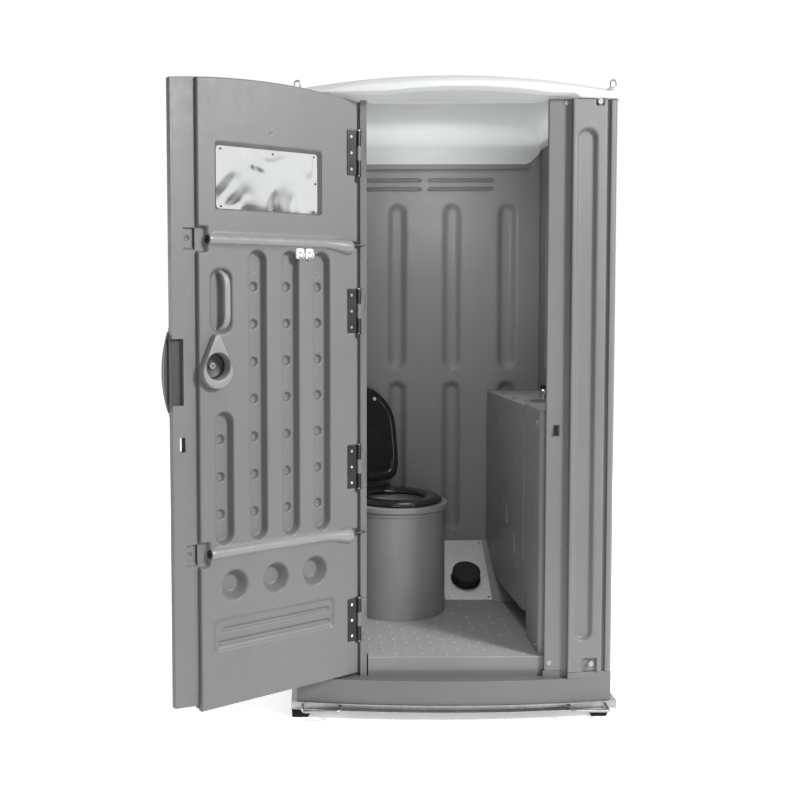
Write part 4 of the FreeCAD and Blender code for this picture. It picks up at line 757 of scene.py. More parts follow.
# the coat hook: two white tabs, each with an upturned prong
parts = []
for cu in (246.5, 208.5):
    gu, gz = np.meshgrid(axis(cu - 17, cu + 17, 2.0, 3, 3), axis(1597.5, 1634, 2.0, 3, 3), indexing="ij")
    # squash the grid into a rounded square
    du, dz = (gu - cu) / 17, (gz - 1615.75) / 18.25
    k_ = np.sqrt(1 - 0.22 * dz * dz), np.sqrt(1 - 0.22 * du * du)
    gu, gz = cu + 17 * du * k_[0], 1615.75 + 18.25 * dz * k_[1]
    dd = 1 - np.maximum(np.abs(du), np.abs(dz))
    top_ = 4.6 - roundover(dd * 17, 3.4) - 1.4 * ramp(circ(gu, gz, cu, 1619, 5), 1.5, 0.6)
    parts.append(slab(D(gu, -3.0 + top_, gz), D(gu, np.full_like(gu, -3.2), gz)))
    pr = [(cu, 0.5, 1604), (cu, 7, 1602), (cu, 13, 1601.5), (cu, 18, 1604), (cu, 20.5, 1609.5), (cu, 21, 1616)]
    pr = np.array(pr, float)
    parts.append(tube(D(pr[:, 0], pr[:, 1], pr[:, 2]), [3.4, 3.4, 3.4, 3.4, 3.5, 3.0], 14))
v, f = joined(parts)
hook = make("coat_hook_tabs", v, f, white_plastic, "door", ["coat_hook"], 50)

# the springs: a coil from inside each tube to the eye on the jamb
parts = []
for zc in CLOSERS:
    a, b = D(150, -7, zc)[()], D(46, -7, zc - 2.0)[()]
    c = np.array([-317.5, -545.5, float(zc)])
    way = [a + (b - a) * k for k in np.linspace(0, 1, 12)] + [b + (c - b) * k for k in np.linspace(0.08, 1, 12)]
    way = np.array(way)
    s = np.concatenate([[0], np.cumsum(np.linalg.norm(np.diff(way, axis=0), axis=1))])
    n = int(s[-1] / 3.4 * 12)
    q = np.linspace(0, s[-1], n)
    mid = np.stack([np.interp(q, s, way[:, k]) for k in range(3)], -1)
    tg = np.gradient(mid, axis=0)
    tg /= np.linalg.norm(tg, axis=1)[:, None]
    up = np.array([0, 0, 1.0])
    sd = np.cross(tg, up)
    sd /= np.linalg.norm(sd, axis=1)[:, None]
    ang = np.arange(n) * 2 * PI / 12
    rad = 4.4 * np.clip((s[-1] - q) / 7.0, 0.25, 1)
    line = mid + rad[:, None] * (np.cos(ang)[:, None] * up + np.sin(ang)[:, None] * sd)
    parts.append(tube(line, 1.05, 6))
v, f = joined(parts)
coils = make("closer_coils", v, f, spring_steel, None, ["closer_springs"], 60)
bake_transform(coils, "door", "cabin", start=tuple(D(70, -7, 1150)[()] * MM), end=(-0.3195, -0.5445, 1.150))

# ------------------------------------------------------------------ walls


def wall_sheet(name, half, ribs, vents, origin, ex, out, band=None, dots=(), mat=wall_plastic, node=None):
    """A pressed sheet with flanges: x along ex from the middle, outwards along out."""
    zl, zh = 165.0, 2143.0
    xs, zs = axis(-half, half, 6.6, 8, 3), axis(zl, zh, 7.2, 8, 3)
    if vents:
        more = []
        for vz in sorted(set(v[2] for v in vents)):
            more += list(np.arange(vz - 12, vz + 12.1, 1.5))
        zs = np.array(sorted(set(np.round([q for q in zs if all(abs(q - v[2]) > 12.5 for v in vents)] + more, 3))))
    X, Z = np.meshgrid(xs, zs, indexing="ij")
    dp = np.zeros_like(X)
    for rx in ribs:
        for a, b in ((450, 1108), (1170, 1884)):
            dp = np.maximum(dp, 21.0 * ramp(cap_v(X, Z, rx, a - 4, b + 4, 41), 21.0, 7.0))
    thin = np.zeros_like(X)
    for a, b, vz in vents:
        thin = np.maximum(thin, 12.0 * ramp(cap_h(X, Z, a - 1, b + 1, vz, 9.0), 6.5, 1.2))
    if band:
        dp = np.maximum(dp, band[2] * ramp(rrect(X, Z, -band[0], band[1], band[0], 2250, 22), 8.0, 2.5))
    for dx, dz, dr, dd in dots:
        thin = np.maximum(thin, dd * ramp(circ(X, Z, dx, dz, dr), dr * 0.6, 1.5))
    wave = 0.5 * np.sin(X / 130.0 + 0.4) * np.sin(Z / 260.0)
    inner = dp + thin + wave * 0.6
    outer = 5.0 + dp + thin + wave * 0.6
    inner = inner + roundover(np.minimum.reduce([half - np.abs(X), Z - zl, zh - Z]), 5.0) * 0.6
    shrink = lambda g, i: np.stack([np.clip(X, -half + i, half - i), g, np.clip(Z, zl + i, zh - i)], -1)
    A = shrink(inner, 0)
    B = shrink(outer, 5.0)
    mids = [shrink(np.full_like(X, 38.0), 0), shrink(np.full_like(X, 39.0), 1.0), shrink(np.full_like(X, 39.0), 4.0),
            shrink(np.full_like(X, 38.0), 5.0)]
    v, f = slab(A, B, mids)
    v = placed(v, origin, ex, out, (0, 0, 1))
    return make(name, v, f, mat, "cabin", [node or name], 50)


back_vents = [(-298, -16, 1990), (16, 298, 1990), (-298, -16, 1952), (16, 298, 1952)]
wall_sheet("wall_back_sheet", 505, (-361, -120, 120, 361), back_vents, (0, 490, 0), (1, 0, 0), (0, 1, 0), (468, 2031, 16.0),
           [(-2, 1905, 4, 3), (-7, 1138, 4, 2), (116, 437, 16, 6)], wall_plastic, "wall_back")
side_vents = [(-300, -16, 1990), (16, 300, 1990)]
wall_sheet("wall_right_sheet", 480, (-330, -110, 110, 330), side_vents, (505, 10, 0), (0, 1, 0), (1, 0, 0), None, (), wall_plastic,
           "wall_right")
wall_sheet("wall_left_sheet", 480, (-330, -110, 110, 330), side_vents, (-505, 10, 0), (0, -1, 0), (-1, 0, 0), None, (), wall_plastic,
           "wall_left")


# ------------------------------------------------------------------ the right front panel
def rounded(points, radii, n=5):
    """An open line through points, each inner corner rounded off."""
    P = [np.array(p, float) for p in points]
    out = [P[0]]
    for a, b, c, r in zip(P, P[1:], P[2:], radii):
        d0, d1 = (a - b) / np.linalg.norm(a - b), (c - b) / np.linalg.norm(c - b)
        half = math.acos(max(-1, min(1, float(np.dot(d0, d1))))) / 2
        if r <= 0 or half > PI / 2 - 0.02:
            out.append(b)
            continue
        tl = r / math.tan(half)
        cen = b + (d0 + d1) / np.linalg.norm(d0 + d1) * (r / math.sin(half))
        p0, p1 = b + d0 * tl, b + d1 * tl
        a0, a1 = math.atan2(*(p0 - cen)[::-1]), math.atan2(*(p1 - cen)[::-1])
        da = (a1 - a0 + PI) % (2 * PI) - PI
        out += [cen + r * np.array([math.cos(a0 + da * k / n), math.sin(a0 + da * k / n)]) for k in range(n + 1)]
    out.append(P[-1])
    return np.array(out)


line = rounded([(314, -545), (314, -556), (391, -556), (391, -580), (512, -566), (512, -549), (525, -549), (525, -560), (541, -558.5),
                (550, -547), (550, -470)], [4, 3.5, 5, 6, 3, 3, 4, 5, 6])
dense = [line[0]]
for a, b in zip(line, line[1:]):
    n = max(1, int(np.linalg.norm(b - a) / 3.3))
    dense += [a + (b - a) * k / n for k in range(1, n + 1)]
line = np.array(dense)
tan = np.gradient(line, axis=0)
tan /= np.linalg.norm(tan, axis=1)[:, None]
inward = np.stack([-tan[:, 1], tan[:, 0]], -1)
zs = np.array(sorted(set(np.round(np.concatenate([axis(165, 2143, 5.5, 4, 3), np.arange(270, 330, 2.4), np.arange(1995, 2050, 2.4),
                                                  np.arange(206, 222, 1.5), np.arange(2110, 2125, 1.5)]), 3))))
keep = [0]
for k in range(1, len(zs)):
    if zs[k] - zs[keep[-1]] > 0.9 or k == len(zs) - 1:
        keep.append(k)
zs = zs[keep]
X = np.broadcast_to(line[:, 0][:, None], (len(line), len(zs)))
Z = np.broadcast_to(zs[None, :], X.shape)
on_face = ((X > 396) & (X < 508) & (line[:, 1][:, None] < -562)).astype(float)
dpt = on_face * np.maximum.reduce([15.0 * ramp(cap_v(X, Z, 443, 276, 2044, 36), 11.0, 3.0),
                                   12.0 * ramp(rrect(X, Z, 447, 140, 496, 215, 3), 3.0, 1.0),
                                   8.0 * ramp(rrect(X, Z, 470, 2118, 500, 2200, 3), 3.0, 1.0)])
dpt = dpt + on_face * 3.0 * ramp(rrect(X, Z, 395, 140, 446.9, 215, 3), 2.0, 1.0)
dpt = dpt + 0.35 * np.sin(Z / 170.0 + X / 60.0) + roundover(np.minimum(Z - 165, 2143 - Z), 3.0) * 0.6
P2 = line[:, None, :] + inward[:, None, :] * dpt[:, :, None]
A = np.concatenate([P2, Z[:, :, None]], -1)
P3 = line[:, None, :] + inward[:, None, :] * (dpt[:, :, None] + 2.6)
B = np.concatenate([P3, Z[:, :, None]], -1)
v, f = slab(A, B)
front_panel = make("latch_panel_shell", v, f, post_plastic, "cabin", ["latch_panel_right"], 50)

# ------------------------------------------------------------------ roof


def roof_outline(hx, yf, yb, bow, rc, ns=44, nc=7):
    """A closed outline, anticlockwise from the front left corner. The front bulges."""
    pts = []
    corners = [(-hx, -yf, PI, 1.5 * PI), (hx, -yf, 1.5 * PI, 2 * PI), (hx, yb, 0, PI / 2), (-hx, yb, PI / 2, PI)]
    for k, (cx, cy, a0, a1) in enumerate(corners):
        ox, oy = cx - math.copysign(rc, cx), cy - math.copysign(rc, cy)
        for j in range(nc + 1):
            a = a0 + (a1 - a0) * j / nc
            pts.append((ox + rc * math.cos(a), oy + rc * math.sin(a)))
        nx_ = corners[(k + 1) % 4]
        px, py = nx_[0] - math.copysign(rc, nx_[0]), nx_[1] - math.copysign(rc, nx_[1])
        e = (px + rc * math.cos(nx_[2]), py + rc * math.sin(nx_[2]))
        s_ = pts[-1]
        for j in range(1, ns):
            t = j / ns
            x, y = s_[0] + (e[0] - s_[0]) * t, s_[1] + (e[1] - s_[1]) * t
            if k == 0:
                y -= bow * (1 - (2 * t - 1) ** 2)
            pts.append((x, y))
    return np.array(pts)


RX, RY, RC = 3170.0, 1785.0, 2300.0


def dome_z(x, y, drop=0.0):
    zy = RC - np.asarray(y) ** 2 / (2 * RY)
    return RC - RX + np.sqrt((RX + zy - RC) ** 2 - np.asarray(x) ** 2) - drop


def front_low(x, y):
    """The underside of the rim: arched over the door's way, flat elsewhere."""
    arch = 2156 + (2175 - 2156) * (1 - np.clip((x - 12) / 302.0, -1, 1) ** 2)
    arch = np.where(x < -290, 2161.0, arch)
    arch = np.maximum(arch, np.where(x < 12, 2161.0, 2156.0))
    fade = np.clip((x + 560) / 20, 0, 1) * np.clip((414 - x) / 16, 0, 1) * np.clip((-533 - y) / 6, 0, 1)
    return 2143 + (arch - 2143) * fade


rings = []


def ring(inset, zf, hx=575.0, yf=570.0, yb=570.0, bow=49.0, rc=34.0):
    o = roof_outline(hx - inset, yf - inset, yb - inset, bow, max(rc - inset, 3))
    rings.append(np.concatenate([o, zf(o[:, 0], o[:, 1])[:, None]], -1))
    return o


base = roof_outline(575 - 60, 570 - 60, 570 - 60, 49.0, 8)
for s_ in (0.03, 0.1, 0.2, 0.3, 0.4, 0.5, 0.6, 0.7, 0.78, 0.85, 0.91, 0.96):
    q = base * s_
    rings.append(np.concatenate([q, dome_z(q[:, 0], q[:, 1])[:, None]], -1))
EDGE = 9.0
for inset in (60, 44, 30, 20, 13, 9, 6, 3.8, 2, 0.8, 0):
    ring(inset, lambda x, y, i=inset: np.maximum(dome_z(x, y) - float(roundover(i, EDGE)), front_low(x, y) + 3.2 - float(roundover(i, 3))))
ring(0, lambda x, y: front_low(x, y) + 2.5)
ring(0.8, lambda x, y: front_low(x, y) + 0.8)
ring(2.5, lambda x, y: front_low(x, y))
# under the rim, back to the skirt
ring(30, lambda x, y: front_low(x, y), bow=49)


def box_ring(hx, y0, y1, zf, rc=14):
    o = roof_outline(hx, -y0, y1, 0, rc)
    rings.append(np.concatenate([o, zf(o[:, 0], o[:, 1])[:, None]], -1))


def skirt_low(x, y):
    """The skirt's lower edge: deep at the rear with cut corners, shallow at the sides and front."""
    rear = 2058 + np.clip((np.abs(x) - 453) / 45, 0, 1) * 48
    side = np.full_like(x, 2112.0)
    zz = np.where(y > 470, rear, side)
    zz = np.where(y < -500, np.where(np.abs(x) < 303, 2133.0, 2140.0), zz)
    return zz


box_ring(503, -538.5, 489, lambda x, y: np.where(y < -500, front_low(x, np.full_like(x, -560.0)), 2143.0), 14)
box_ring(502, -536, 488, lambda x, y: np.full_like(x, 2143.0), 14)
box_ring(498, -531, 485, lambda x, y: np.full_like(x, 2142.0), 12)
box_ring(498, -531, 485, lambda x, y: skirt_low(x, y) + 1.2, 12)
box_ring(497, -530, 484, lambda x, y: skirt_low(x, y), 12)
box_ring(494.5, -527.5, 481.5, lambda x, y: skirt_low(x, y), 12)
box_ring(493.5, -526.5, 480.5, lambda x, y: skirt_low(x, y) + 1.2, 12)
box_ring(493, -526, 480, lambda x, y: np.full_like(x, 2143.0), 14)
for i, k in ((0, 1.0), (3, 0.62), (9, 0.32), (18, 0.12), (30, 0.0)):
    box_ring(493 - i, -526 + i, 480 - i, lambda x, y, k=k: dome_z(x, y, 5.0) - 34 * k, 14 + i * 0.3)
for s_ in (0.93, 0.8, 0.65, 0.5, 0.35, 0.2, 0.08):
    o = roof_outline(463 * s_, 496 * s_, 450 * s_, 0, 20 * s_)
    # the underside isn't smooth: two wide ribs run across it
    dz = 5.0 + 4.0 * np.exp(-((o[:, 1] - 180) / 26.0) ** 2) + 4.0 * np.exp(-((o[:, 1] + 90) / 26.0) ** 2)
    rings.append(np.concatenate([o, (dome_z(o[:, 0], o[:, 1]) - dz)[:, None]], -1))
R = np.array(rings)
nr, npnt = R.shape[:2]
v = R.reshape(-1, 3)
f = []
idx = np.arange(nr * npnt).reshape(nr, npnt)
nxt = np.roll(idx, -1, axis=1)
f = np.stack([idx[:-1], nxt[:-1], nxt[1:], idx[1:]], -1).reshape(-1, 4).tolist()
v = np.concatenate([v, [[0, 0, RC]], [[0, -20, float(dome_z(0, -20, 5.0))]]])
for j in range(npnt):
    f.append([len(v) - 2, int(nxt[0, j]), int(idx[0, j])])
    f.append([len(v) - 1, int(idx[-1, j]), int(nxt[-1, j])])
# bosses for the eyes
parts = [(v, f)]
for sx in (-1, 1):
    for sy in (-530, 535):
        prof = [(0, 2146), (24, 2146), (24, 2179), (23.2, 2181), (21.5, 2182), (0, 2182)]
        bv, bf = lathe_solid(prof, 40)
        parts.append((bv + np.array([sx * 540, sy, 0]), bf))
v, f = joined(parts)
roof = make("roof_shell", v, f, roof_white, "cabin", ["roof"], 48)

# ------------------------------------------------------------------ seat and lid
SEAT_A = math.radians(27 - 90)
SX_, SY_ = np.array([math.cos(SEAT_A), math.sin(SEAT_A), 0]), np.array([-math.sin(SEAT_A), math.cos(SEAT_A), 0])
DRUM = np.array([-155.0, 95.0, 0])


def egg(n, front, half, back, heel, pw=2.0):
    """A closed egg: a round front, sides that run back to a narrower heel."""
    a = np.arange(n) * 2 * PI / n
    c, s_ = np.cos(a), np.sin(a)
    x = np.where(c >= 0, front * np.abs(c) ** (2 / 2.0), -back * np.abs(c) ** (2 / (pw + 0.9)))
    y = np.sign(s_) * half * np.abs(s_) ** np.where(c >= 0, 1.0, 2 / (pw + 0.5))
    taper = 1 - (1 - heel) * np.clip(-x / back, 0, 1) ** 1.7
    return np.stack([x + 5, y * taper], -1)


N = 120
outer, hole = egg(N, 185, 184, 220, 0.93, 3.0), None
a = np.arange(N) * 2 * PI / N
hole = np.stack([-3 + 125 * np.cos(a), 112 * np.sin(a)], -1)
# the section goes from the hole's wall over the crowned top to the outer wall and back under
sect = [(0.0, 6), (0.02, 13), (0.09, 18.2), (0.2, 21.0), (0.4, 22.6), (0.6, 22.2), (0.8, 19.6), (0.92, 15), (0.985, 8.5), (1.0, 4.5),
        (0.98, 1.2), (0.9, 0.2), (0.5, 0.8), (0.1, 0.2), (0.02, 1.6)]
v = []
for t, h in sect:
    p = hole + (outer - hole) * t
    v.append(np.concatenate([p, np.full((N, 1), 658.6 + h * 0.97)], -1))
v = np.array(v)
idx = np.arange(len(sect) * N).reshape(len(sect), N)
nx1 = np.roll(idx, -1, axis=1)
f = np.stack([idx, nx1, np.roll(nx1, -1, axis=0), np.roll(idx, -1, axis=0)], -1).reshape(-1, 4)
v = placed(v.reshape(-1, 3), DRUM, SX_, SY_, (0, 0, 1))
seat_parts = [(v, f)]
AXX, SAX = -250.0, 670.0
for s_ in (-1, 1):
    cv, cf = lathe_solid([(0, -19.5), (10, -19.5), (11, -18.5), (11, 18.5), (10, 19.5), (0, 19.5)], 28)
    cv = placed(cv, (0, 0, 0), (1, 0, 0), (0, 0, 1), (0, 1, 0)) + np.array([AXX, s_ * 70, SAX])
    seat_parts.append((placed(cv, DRUM, SX_, SY_, (0, 0, 1)), cf))
    # the web between the lug and the seat's heel
    xs_ = np.linspace(AXX, -188, 8)
    ring_pts = []
    for xx in xs_:
        k = (xx - AXX) / (188 - 250 + 124)
        hh = 6.0 + 2.5 * min(1, (xx - AXX) / 60)
        q = [(-18, -hh), (-16, -hh - 1), (16, -hh - 1), (18, -hh), (18, hh), (16, hh + 1), (-16, hh + 1), (-18, hh)]
        ring_pts.append([(xx, s_ * 70 + yy, SAX + zz) for yy, zz in q])
    rp = np.array(ring_pts)
    m_ = rp.shape[1]
    vv = rp.reshape(-1, 3)
    ff = []
    for i in range(len(xs_) - 1):
        for j in range(m_):
            j2 = (j + 1) % m_
            ff.append([i * m_ + j, i * m_ + j2, (i + 1) * m_ + j2, (i + 1) * m_ + j])
    ff.append([m_ - 1 - j for j in range(m_)])
    ff.append([(len(xs_) - 1) * m_ + j for j in range(m_)])
    seat_parts.append((placed(vv, DRUM, SX_, SY_, (0, 0, 1)), ff))
v, f = joined([(a_, b_ if isinstance(b_, list) else b_.tolist()) for a_, b_ in seat_parts])
seat = make("seat_ring", v, f, seat_black, "seat", ["toilet_seat"], 45)


# the lid, built closed, then turned back about the hinge line
def lid_world(v):
    v = np.asarray(v, float)
    t = math.radians(-100)
    x, zz = v[:, 0] - AXX, v[:, 2] - SAX
    c, s_ = math.cos(t), math.sin(t)
    r = np.stack([AXX + x * c + zz * s_, v[:, 1], SAX - x * s_ + zz * c], -1)
    return placed(r, DRUM, SX_, SY_, (0, 0, 1))


edge_o = egg(N, 187, 188, 232, 0.985, 6.0)
cen = np.array([-10.0, 0.0])
# fraction of the way out, height over the closed lid's lower edge
under = [(0.0, 7.2), (0.2, 7.2), (0.45, 6.9), (0.68, 6.4), (0.8, 6.3), (0.858, 6.0), (0.876, 2.2), (0.9, 0.3), (0.96, 0.0), (0.985, 1.2), (1.0, 4.6)]
over = [(1.0, 8.5), (0.985, 12.5), (0.95, 15.5), (0.88, 17.8), (0.75, 19.5), (0.5, 21.2), (0.25, 22.0), (0.0, 22.2)]
rows = []
for t, h in under[1:] + over[:-1]:
    p = cen + (edge_o - cen) * t
    rows.append(np.concatenate([p, np.full((N, 1), 683.2 + h)], -1))
rows = np.array(rows)
idx = np.arange(rows.shape[0] * N).reshape(rows.shape[0], N)
nx1 = np.roll(idx, -1, axis=1)
f = np.stack([idx[:-1], nx1[:-1], nx1[1:], idx[1:]], -1).reshape(-1, 4).tolist()
v = np.concatenate([rows.reshape(-1, 3), [[cen[0], 0, 683.2 + 7.2], [cen[0], 0, 683.2 + 22.2]]])
for j in range(N):
    f.append([len(v) - 2, int(nx1[0, j]), int(idx[0, j])])
    f.append([len(v) - 1, int(idx[-1, j]), int(nx1[-1, j])])
lid_parts = [(lid_world(v), f)]
cv, cf = lathe_solid([(0, -33.5), (10, -33.5), (11, -32.5), (11, 32.5), (10, 33.5), (0, 33.5)], 28)
cv = placed(cv, (0, 0, 0), (1, 0, 0), (0, 0, 1), (0, 1, 0)) + np.array([AXX, 0, SAX])
lid_parts.append((lid_world(cv), cf))
arm = []
path = [(-251, 676), (-249, 684), (-241, 690), (-228, 693), (-205, 694), (-185, 694)]
for k, (xx, zz) in enumerate(path):
    q0 = np.array(path[max(k - 1, 0)])
    q1 = np.array(path[min(k + 1, len(path) - 1)])
    d_ = (q1 - q0) / np.linalg.norm(q1 - q0)
    nn = np.array([-d_[1], d_[0]])
    for yy, hh in ((-33, -4.5), (33, -4.5), (33, 4.5), (-33, 4.5)):
        arm.append((xx + nn[0] * hh, yy, zz + nn[1] * hh))
arm = np.array(arm)
ff = []
for i in range(len(path) - 1):
    for j in range(4):
        j2 = (j + 1) % 4
        ff.append([i * 4 + j, i * 4 + j2, (i + 1) * 4 + j2, (i + 1) * 4 + j])
ff.append([3, 2, 1, 0])
ff.append([len(arm) - 4 + j for j in range(4)])
lid_parts.append((lid_world(arm), ff))
v, f = joined(lid_parts)
lid = make("lid_shell", v, f, seat_black, "lid", ["toilet_lid"], 45)

# ------------------------------------------------------------------ foot pump
slope = math.atan2(408 - 212, 485 - 180)
pz = 212 + (288 - 180) * (408 - 212) / (485 - 180)
PO = np.array([158.0, 288.0, pz])
EY, EZ = np.array([0, math.cos(slope), math.sin(slope)]), np.array([0, -math.sin(slope), math.cos(slope)])
prof = []
for i in range(3):
    z0 = 7.6 + 10 * i
    for k in range(9):
        t = k / 8.0
        prof.append((50.5 + 7.2 * math.sin(PI * t) ** 0.8, z0 + 9.8 * t))
prof.append((47.0, 37.4))
prof.append((47.0, 7.6))
v, f = lathe(prof, 72)
bellows = make("pump_bellows_folds", placed(v, PO, (1, 0, 0), EY, EZ), f, rubber, "cabin", ["pump_bellows"], 70)
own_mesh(bellows)

# ------------------------------------------------------------------ anti-slip bumps on the floor
parts = []
bump_prof = [(0, -0.6), (7.5, -0.6), (6.6, 0.5), (4.6, 1.6), (2.2, 2.2), (0, 2.35)]
bv0, bf0 = lathe_solid(bump_prof, 12)
rows_n = 0
for r_ in range(17):
    yy = -500 + r_ * 42.0
    for c_ in range(12):
        xx = -470 + c_ * 90 + (45 if r_ % 2 else 0)
        if not (-488 < xx < 492) or yy > 172:
            continue
        if math.hypot(xx + 155, yy - 95) < 214 or (xx > 262 and yy > -245 and False):
            continue
        if xx > 294 and yy < -228:
            continue
        if yy > -528 + 0 and (xx > -300 or yy > -480):
            parts.append((bv0 + np.array([xx, yy, 212.0]), bf0))
v, f = joined(parts)
bumps = make("floor_bumps", v, f, tray_plastic, "cabin", [], 60)

# ------------------------------------------------------------------ CAD pieces that stay
LOOK = {
    "skid_left": (skid_plastic, 3.0), "skid_right": (skid_plastic, 3.0), "base_frame": (galvanised, 1.0),
    "tie_down_loops": (galvanised, 0.6), "floor_tray": (tray_plastic, 4.0), "hinge_post_left": (post_plastic, 1.5),
    "corner_post_rear_left": (wall_plastic, 2.0), "corner_post_rear_right": (wall_plastic, 2.0), "lifting_eyes": (galvanised, 0.5),
    "panel_bolts": (galvanised, 1.0), "door_outer_skin": (door_plastic, 2.2), "door_edge_grip": (door_plastic, 1.8),
    "door_mirror": (mirror_sheet, 0.4), "mirror_screws": (dark_steel, 0.5), "inner_pull_handle": (pull_plastic, 3.5),
    "latch_knob": (knob_plastic, 2.0), "coat_hook": (white_plastic, 1.2), "coat_hook_screws": (steel, 0.5),
    "closer_anchors": (door_plastic, 1.2), "door_hinge_leaves": (dark_steel, 0.5), "hinge_screws_door": (steel, 0.4),
    "jamb_hinge_leaves": (post_plastic, 0.5), "hinge_screws_jamb": (post_plastic, 0.4), "hinge_pins": (steel, 0.4),
    "closer_jamb_eyes": (spring_steel, 0.3), "padlock_staple": (dark_steel, 0.6), "waste_tank": (tank_plastic, 3.0),
    "tank_rim": (tank_plastic, 5.0), "toilet_bowl": (bowl_plastic, 1.0), "lid_bumpers": (white_plastic, 1.0),
    "seat_bumpers": (rubber, 0.8), "seat_hinge_blocks": (seat_black, 1.2), "seat_hinge_pin": (steel, 0.4), "pump_plate": (plate_steel, 0.5),
    "pump_screws": (steel, 0.4), "pump_base": (rubber, 1.0), "pump_cap": (rubber, 1.6), "wash_cabinet": (wash_plastic, 4.0),
    "wash_tank": (wash_plastic, 7.0), "wash_basin": (wash_plastic, 3.0), "wash_tap": (steel, 1.5), "wash_tap_cap": (dark_steel, 1.0),
    "wash_unit_bolts": (steel, 0.6),
}
for name, o in NODES.items():
    if o.hide_render:
        continue
    mat, width = LOOK.get(name, (wall_plastic, 1.0))
    me = o.data
    me.materials.clear()
    me.materials.append(mat)
    me.polygons.foreach_set("material_index", np.zeros(len(me.polygons), int))
    me.polygons.foreach_set("use_smooth", np.ones(len(me.polygons), bool))
    if "custom_normal" in me.attributes:
        me.attributes.remove(me.attributes["custom_normal"])
    wd = o.modifiers.new("Weld", "WELD")
    wd.merge_threshold = 2e-5
    bv = o.modifiers.new("Edges", "BEVEL")
    bv.width = width * MM
    bv.segments = 3
    bv.limit_method = "ANGLE"
    bv.angle_limit = math.radians(34)
    bv.use_clamp_overlap = True
    bv.harden_normals = False
    wn = o.modifiers.new("Normals", "WEIGHTED_NORMAL")
    wn.keep_sharp = True
    wn.weight = 70

for o, width in own_bevel:
    bv = o.modifiers.new("Edges", "BEVEL")
    bv.width = width * MM
    bv.segments = 3
    bv.limit_method = "ANGLE"
    bv.angle_limit = math.radians(34)
    bv.use_clamp_overlap = True
    wn = o.modifiers.new("Normals", "WEIGHTED_NORMAL")
    wn.keep_sharp = True
    wn.weight = 70

# ------------------------------------------------------------------ stage, light, camera
bpy.ops.mesh.primitive_plane_add(size=60, location=(0, 0, -0.0005))
ground = bpy.context.active_object
ground.name = "studio_floor"
m = Mat("studio_floor")
sep = m.t.nodes.new("ShaderNodeSeparateXYZ")
m.link(m.co, sep.inputs[0])
near = m.remap(sep.outputs[1], -2.4, -1.3, 0.0, 1.0)
m.tone((0.9, 0.9, 0.9), m.math("MULTIPLY", m.remap(near, 0.0, 1.0, 0.45, 1.0), m.remap(m.noise(0.6, 3), 0.3, 0.7, 0.985, 1.0)))
m.p.inputs["Emission Color"].default_value = (1, 1, 1, 1)
m.link(m.remap(near, 0.0, 1.0, 0.0, 0.42), m.p.inputs["Emission Strength"])
m.link(m.remap(m.noise(3, 3), 0.3, 0.7, 0.75, 0.85), m.p.inputs["Roughness"])
m.p.inputs["Specular IOR Level"].default_value = 0.1
ground.data.materials.append(m.m)

# a plain pale backdrop and far floor all round, seen but giving no light
def backdrop(name, bm, strength):
    me = bpy.data.meshes.new(name)
    bm.to_mesh(me)
    bm.free()
    ob = bpy.data.objects.new(name, me)
    bpy.context.scene.collection.objects.link(ob)
    mt = bpy.data.materials.new(name)
    mt.use_nodes = True
    mt.node_tree.nodes.clear()
    em = mt.node_tree.nodes.new("ShaderNodeEmission")
    tc, sx, mr = [mt.node_tree.nodes.new(q) for q in ("ShaderNodeTexCoord", "ShaderNodeSeparateXYZ", "ShaderNodeMapRange")]
    mt.node_tree.links.new(tc.outputs["Object"], sx.inputs[0])
    mt.node_tree.links.new(sx.outputs[1], mr.inputs[0])
    for k, q in enumerate((4.0, 10.5, strength, 1.03)):
        mr.inputs[k + 1].default_value = q
    mt.node_tree.links.new(mr.outputs[0], em.inputs["Strength"])
    mo = mt.node_tree.nodes.new("ShaderNodeOutputMaterial")
    mt.node_tree.links.new(em.outputs[0], mo.inputs[0])
    me.materials.append(mt)
    for flag in ("visible_diffuse", "visible_glossy", "visible_transmission", "visible_volume_scatter", "visible_shadow"):
        setattr(ob, flag, False)


dome = bmesh.new()
bmesh.ops.create_uvsphere(dome, u_segments=48, v_segments=24, radius=15.0)
backdrop("studio_backdrop", dome, 0.86)
apron = bmesh.new()
for q in ((-16, -16), (16, -16), (16, -1.42), (-16, -1.42)):
    apron.verts.new((q[0], q[1], 0.0008))
apron.faces.new(list(apron.verts))
backdrop("studio_apron", apron, 1.0)

world = bpy.data.worlds.new("studio")
bpy.context.scene.world = world
world.use_nodes = True
bg = world.node_tree.nodes["Background"]
wt = world.node_tree
bg.inputs["Color"].default_value = (1.0, 1.0, 1.0, 1)
wc = wt.nodes.new("ShaderNodeTexCoord")
ws = wt.nodes.new("ShaderNodeSeparateXYZ")
wt.links.new(wc.outputs["Generated"], ws.inputs[0])


def wmap(src, lo, hi, a, b):
    n = wt.nodes.new("ShaderNodeMapRange")
    n.interpolation_type = "SMOOTHSTEP"
    for k, q in enumerate((lo, hi, a, b)):
        n.inputs[k + 1].default_value = q
    wt.links.new(src, n.inputs[0])
    return n.outputs[0]


def wmath(op, a, b):
    n = wt.nodes.new("ShaderNodeMath")
    n.operation = op
    for k, q in ((0, a), (1, b)):
        if isinstance(q, (int, float)):
            n.inputs[k].default_value = q
        else:
            wt.links.new(q, n.inputs[k])
    return n.outputs[0]


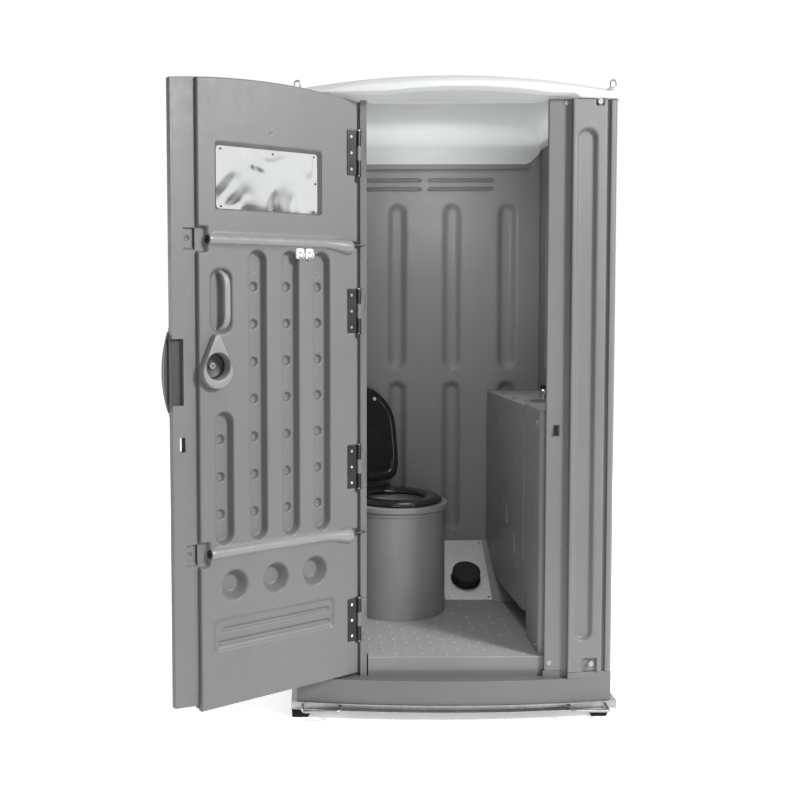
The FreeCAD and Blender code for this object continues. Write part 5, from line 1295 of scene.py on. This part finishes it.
# a bright backdrop behind, a dimmer room in front and on the left, soft panels on the right
wn_ = wt.nodes.new("ShaderNodeTexNoise")
wn_.inputs["Scale"].default_value = 3.2
wn_.inputs["Detail"].default_value = 1.0
wt.links.new(wc.outputs["Generated"], wn_.inputs["Vector"])
panels = wmap(wn_.outputs[0], 0.42, 0.56, 0.22, 0.95)
right_ = wmap(ws.outputs[0], 0.55, 0.75, 0.0, 1.0)
room = wmath("ADD", wmath("MULTIPLY", wmath("SUBTRACT", 1.0, right_), wmap(ws.outputs[0], -0.9, 0.1, 0.28, 0.46)),
             wmath("MULTIPLY", right_, panels))
room = wmath("MAXIMUM", room, wmap(ws.outputs[2], 0.5, 0.85, 0.0, 0.9))
back = wmap(ws.outputs[1], 0.5, 0.82, 0.0, 1.02)
wt.links.new(wmath("MAXIMUM", room, back), bg.inputs["Strength"])


def area(name, loc, target, size, power):
    l = bpy.data.lights.new(name, "AREA")
    l.shape = "DISK"
    l.size = size
    l.energy = power
    o = bpy.data.objects.new(name, l)
    bpy.context.scene.collection.objects.link(o)
    o.location = loc
    o.rotation_euler = (Vector(target) - Vector(loc)).to_track_quat("-Z", "Y").to_euler()
    return o


for lamp in (area("key", (4.6, -4.6, 4.4), (-0.2, -0.4, 1.0), 1.5, 600), area("fill", (-0.6, -6.2, 1.5), (0.0, 0.0, 1.1), 2.4, 45),
             area("rear_left", (-4.6, 3.4, 1.5), (0.0, 0.0, 0.95), 2.0, 190), area("rear_right", (3.8, 4.4, 1.4), (0.0, 0.0, 0.9), 2.0, 120)):
    lamp.visible_camera = False
top = area("inside", (0.12, -0.25, 1.84), (0.04, 0.5, 0.5), 0.5, 4.3)
top.visible_camera = False
glow = area("glow", (0.0, -0.3, 1.94), (0.0, 0.5, 2.17), 0.4, 0.72)
glow.data.spread = math.radians(75)
glow.visible_camera = False

cam = bpy.data.cameras.new("view")
co = bpy.data.objects.new("view", cam)
bpy.context.scene.collection.objects.link(co)
bpy.context.scene.camera = co
cam.sensor_width = 36
cam.lens = 1092.4 / 800 * 36
cam.shift_x = (400 - 313.4) / 800
cam.shift_y = -(400 - 370.8) / 800
cam.clip_end = 100
right = Vector((0.9999946282768141, -0.0010796944024957574, -0.0030947823047349538))
down = Vector((-0.0031521642597368846, -0.057964394797111504, -0.9983136745513828))
fwd = Vector((0.0008984865030253275, 0.998318067148843, -0.057967486802534995))
rot = Matrix((right, -down, -fwd)).transposed()
co.matrix_world = Matrix.Translation((-0.4926, -4.3115, 1.4386)) @ rot.to_4x4()

bpy.context.scene.view_settings.view_transform = "Standard"
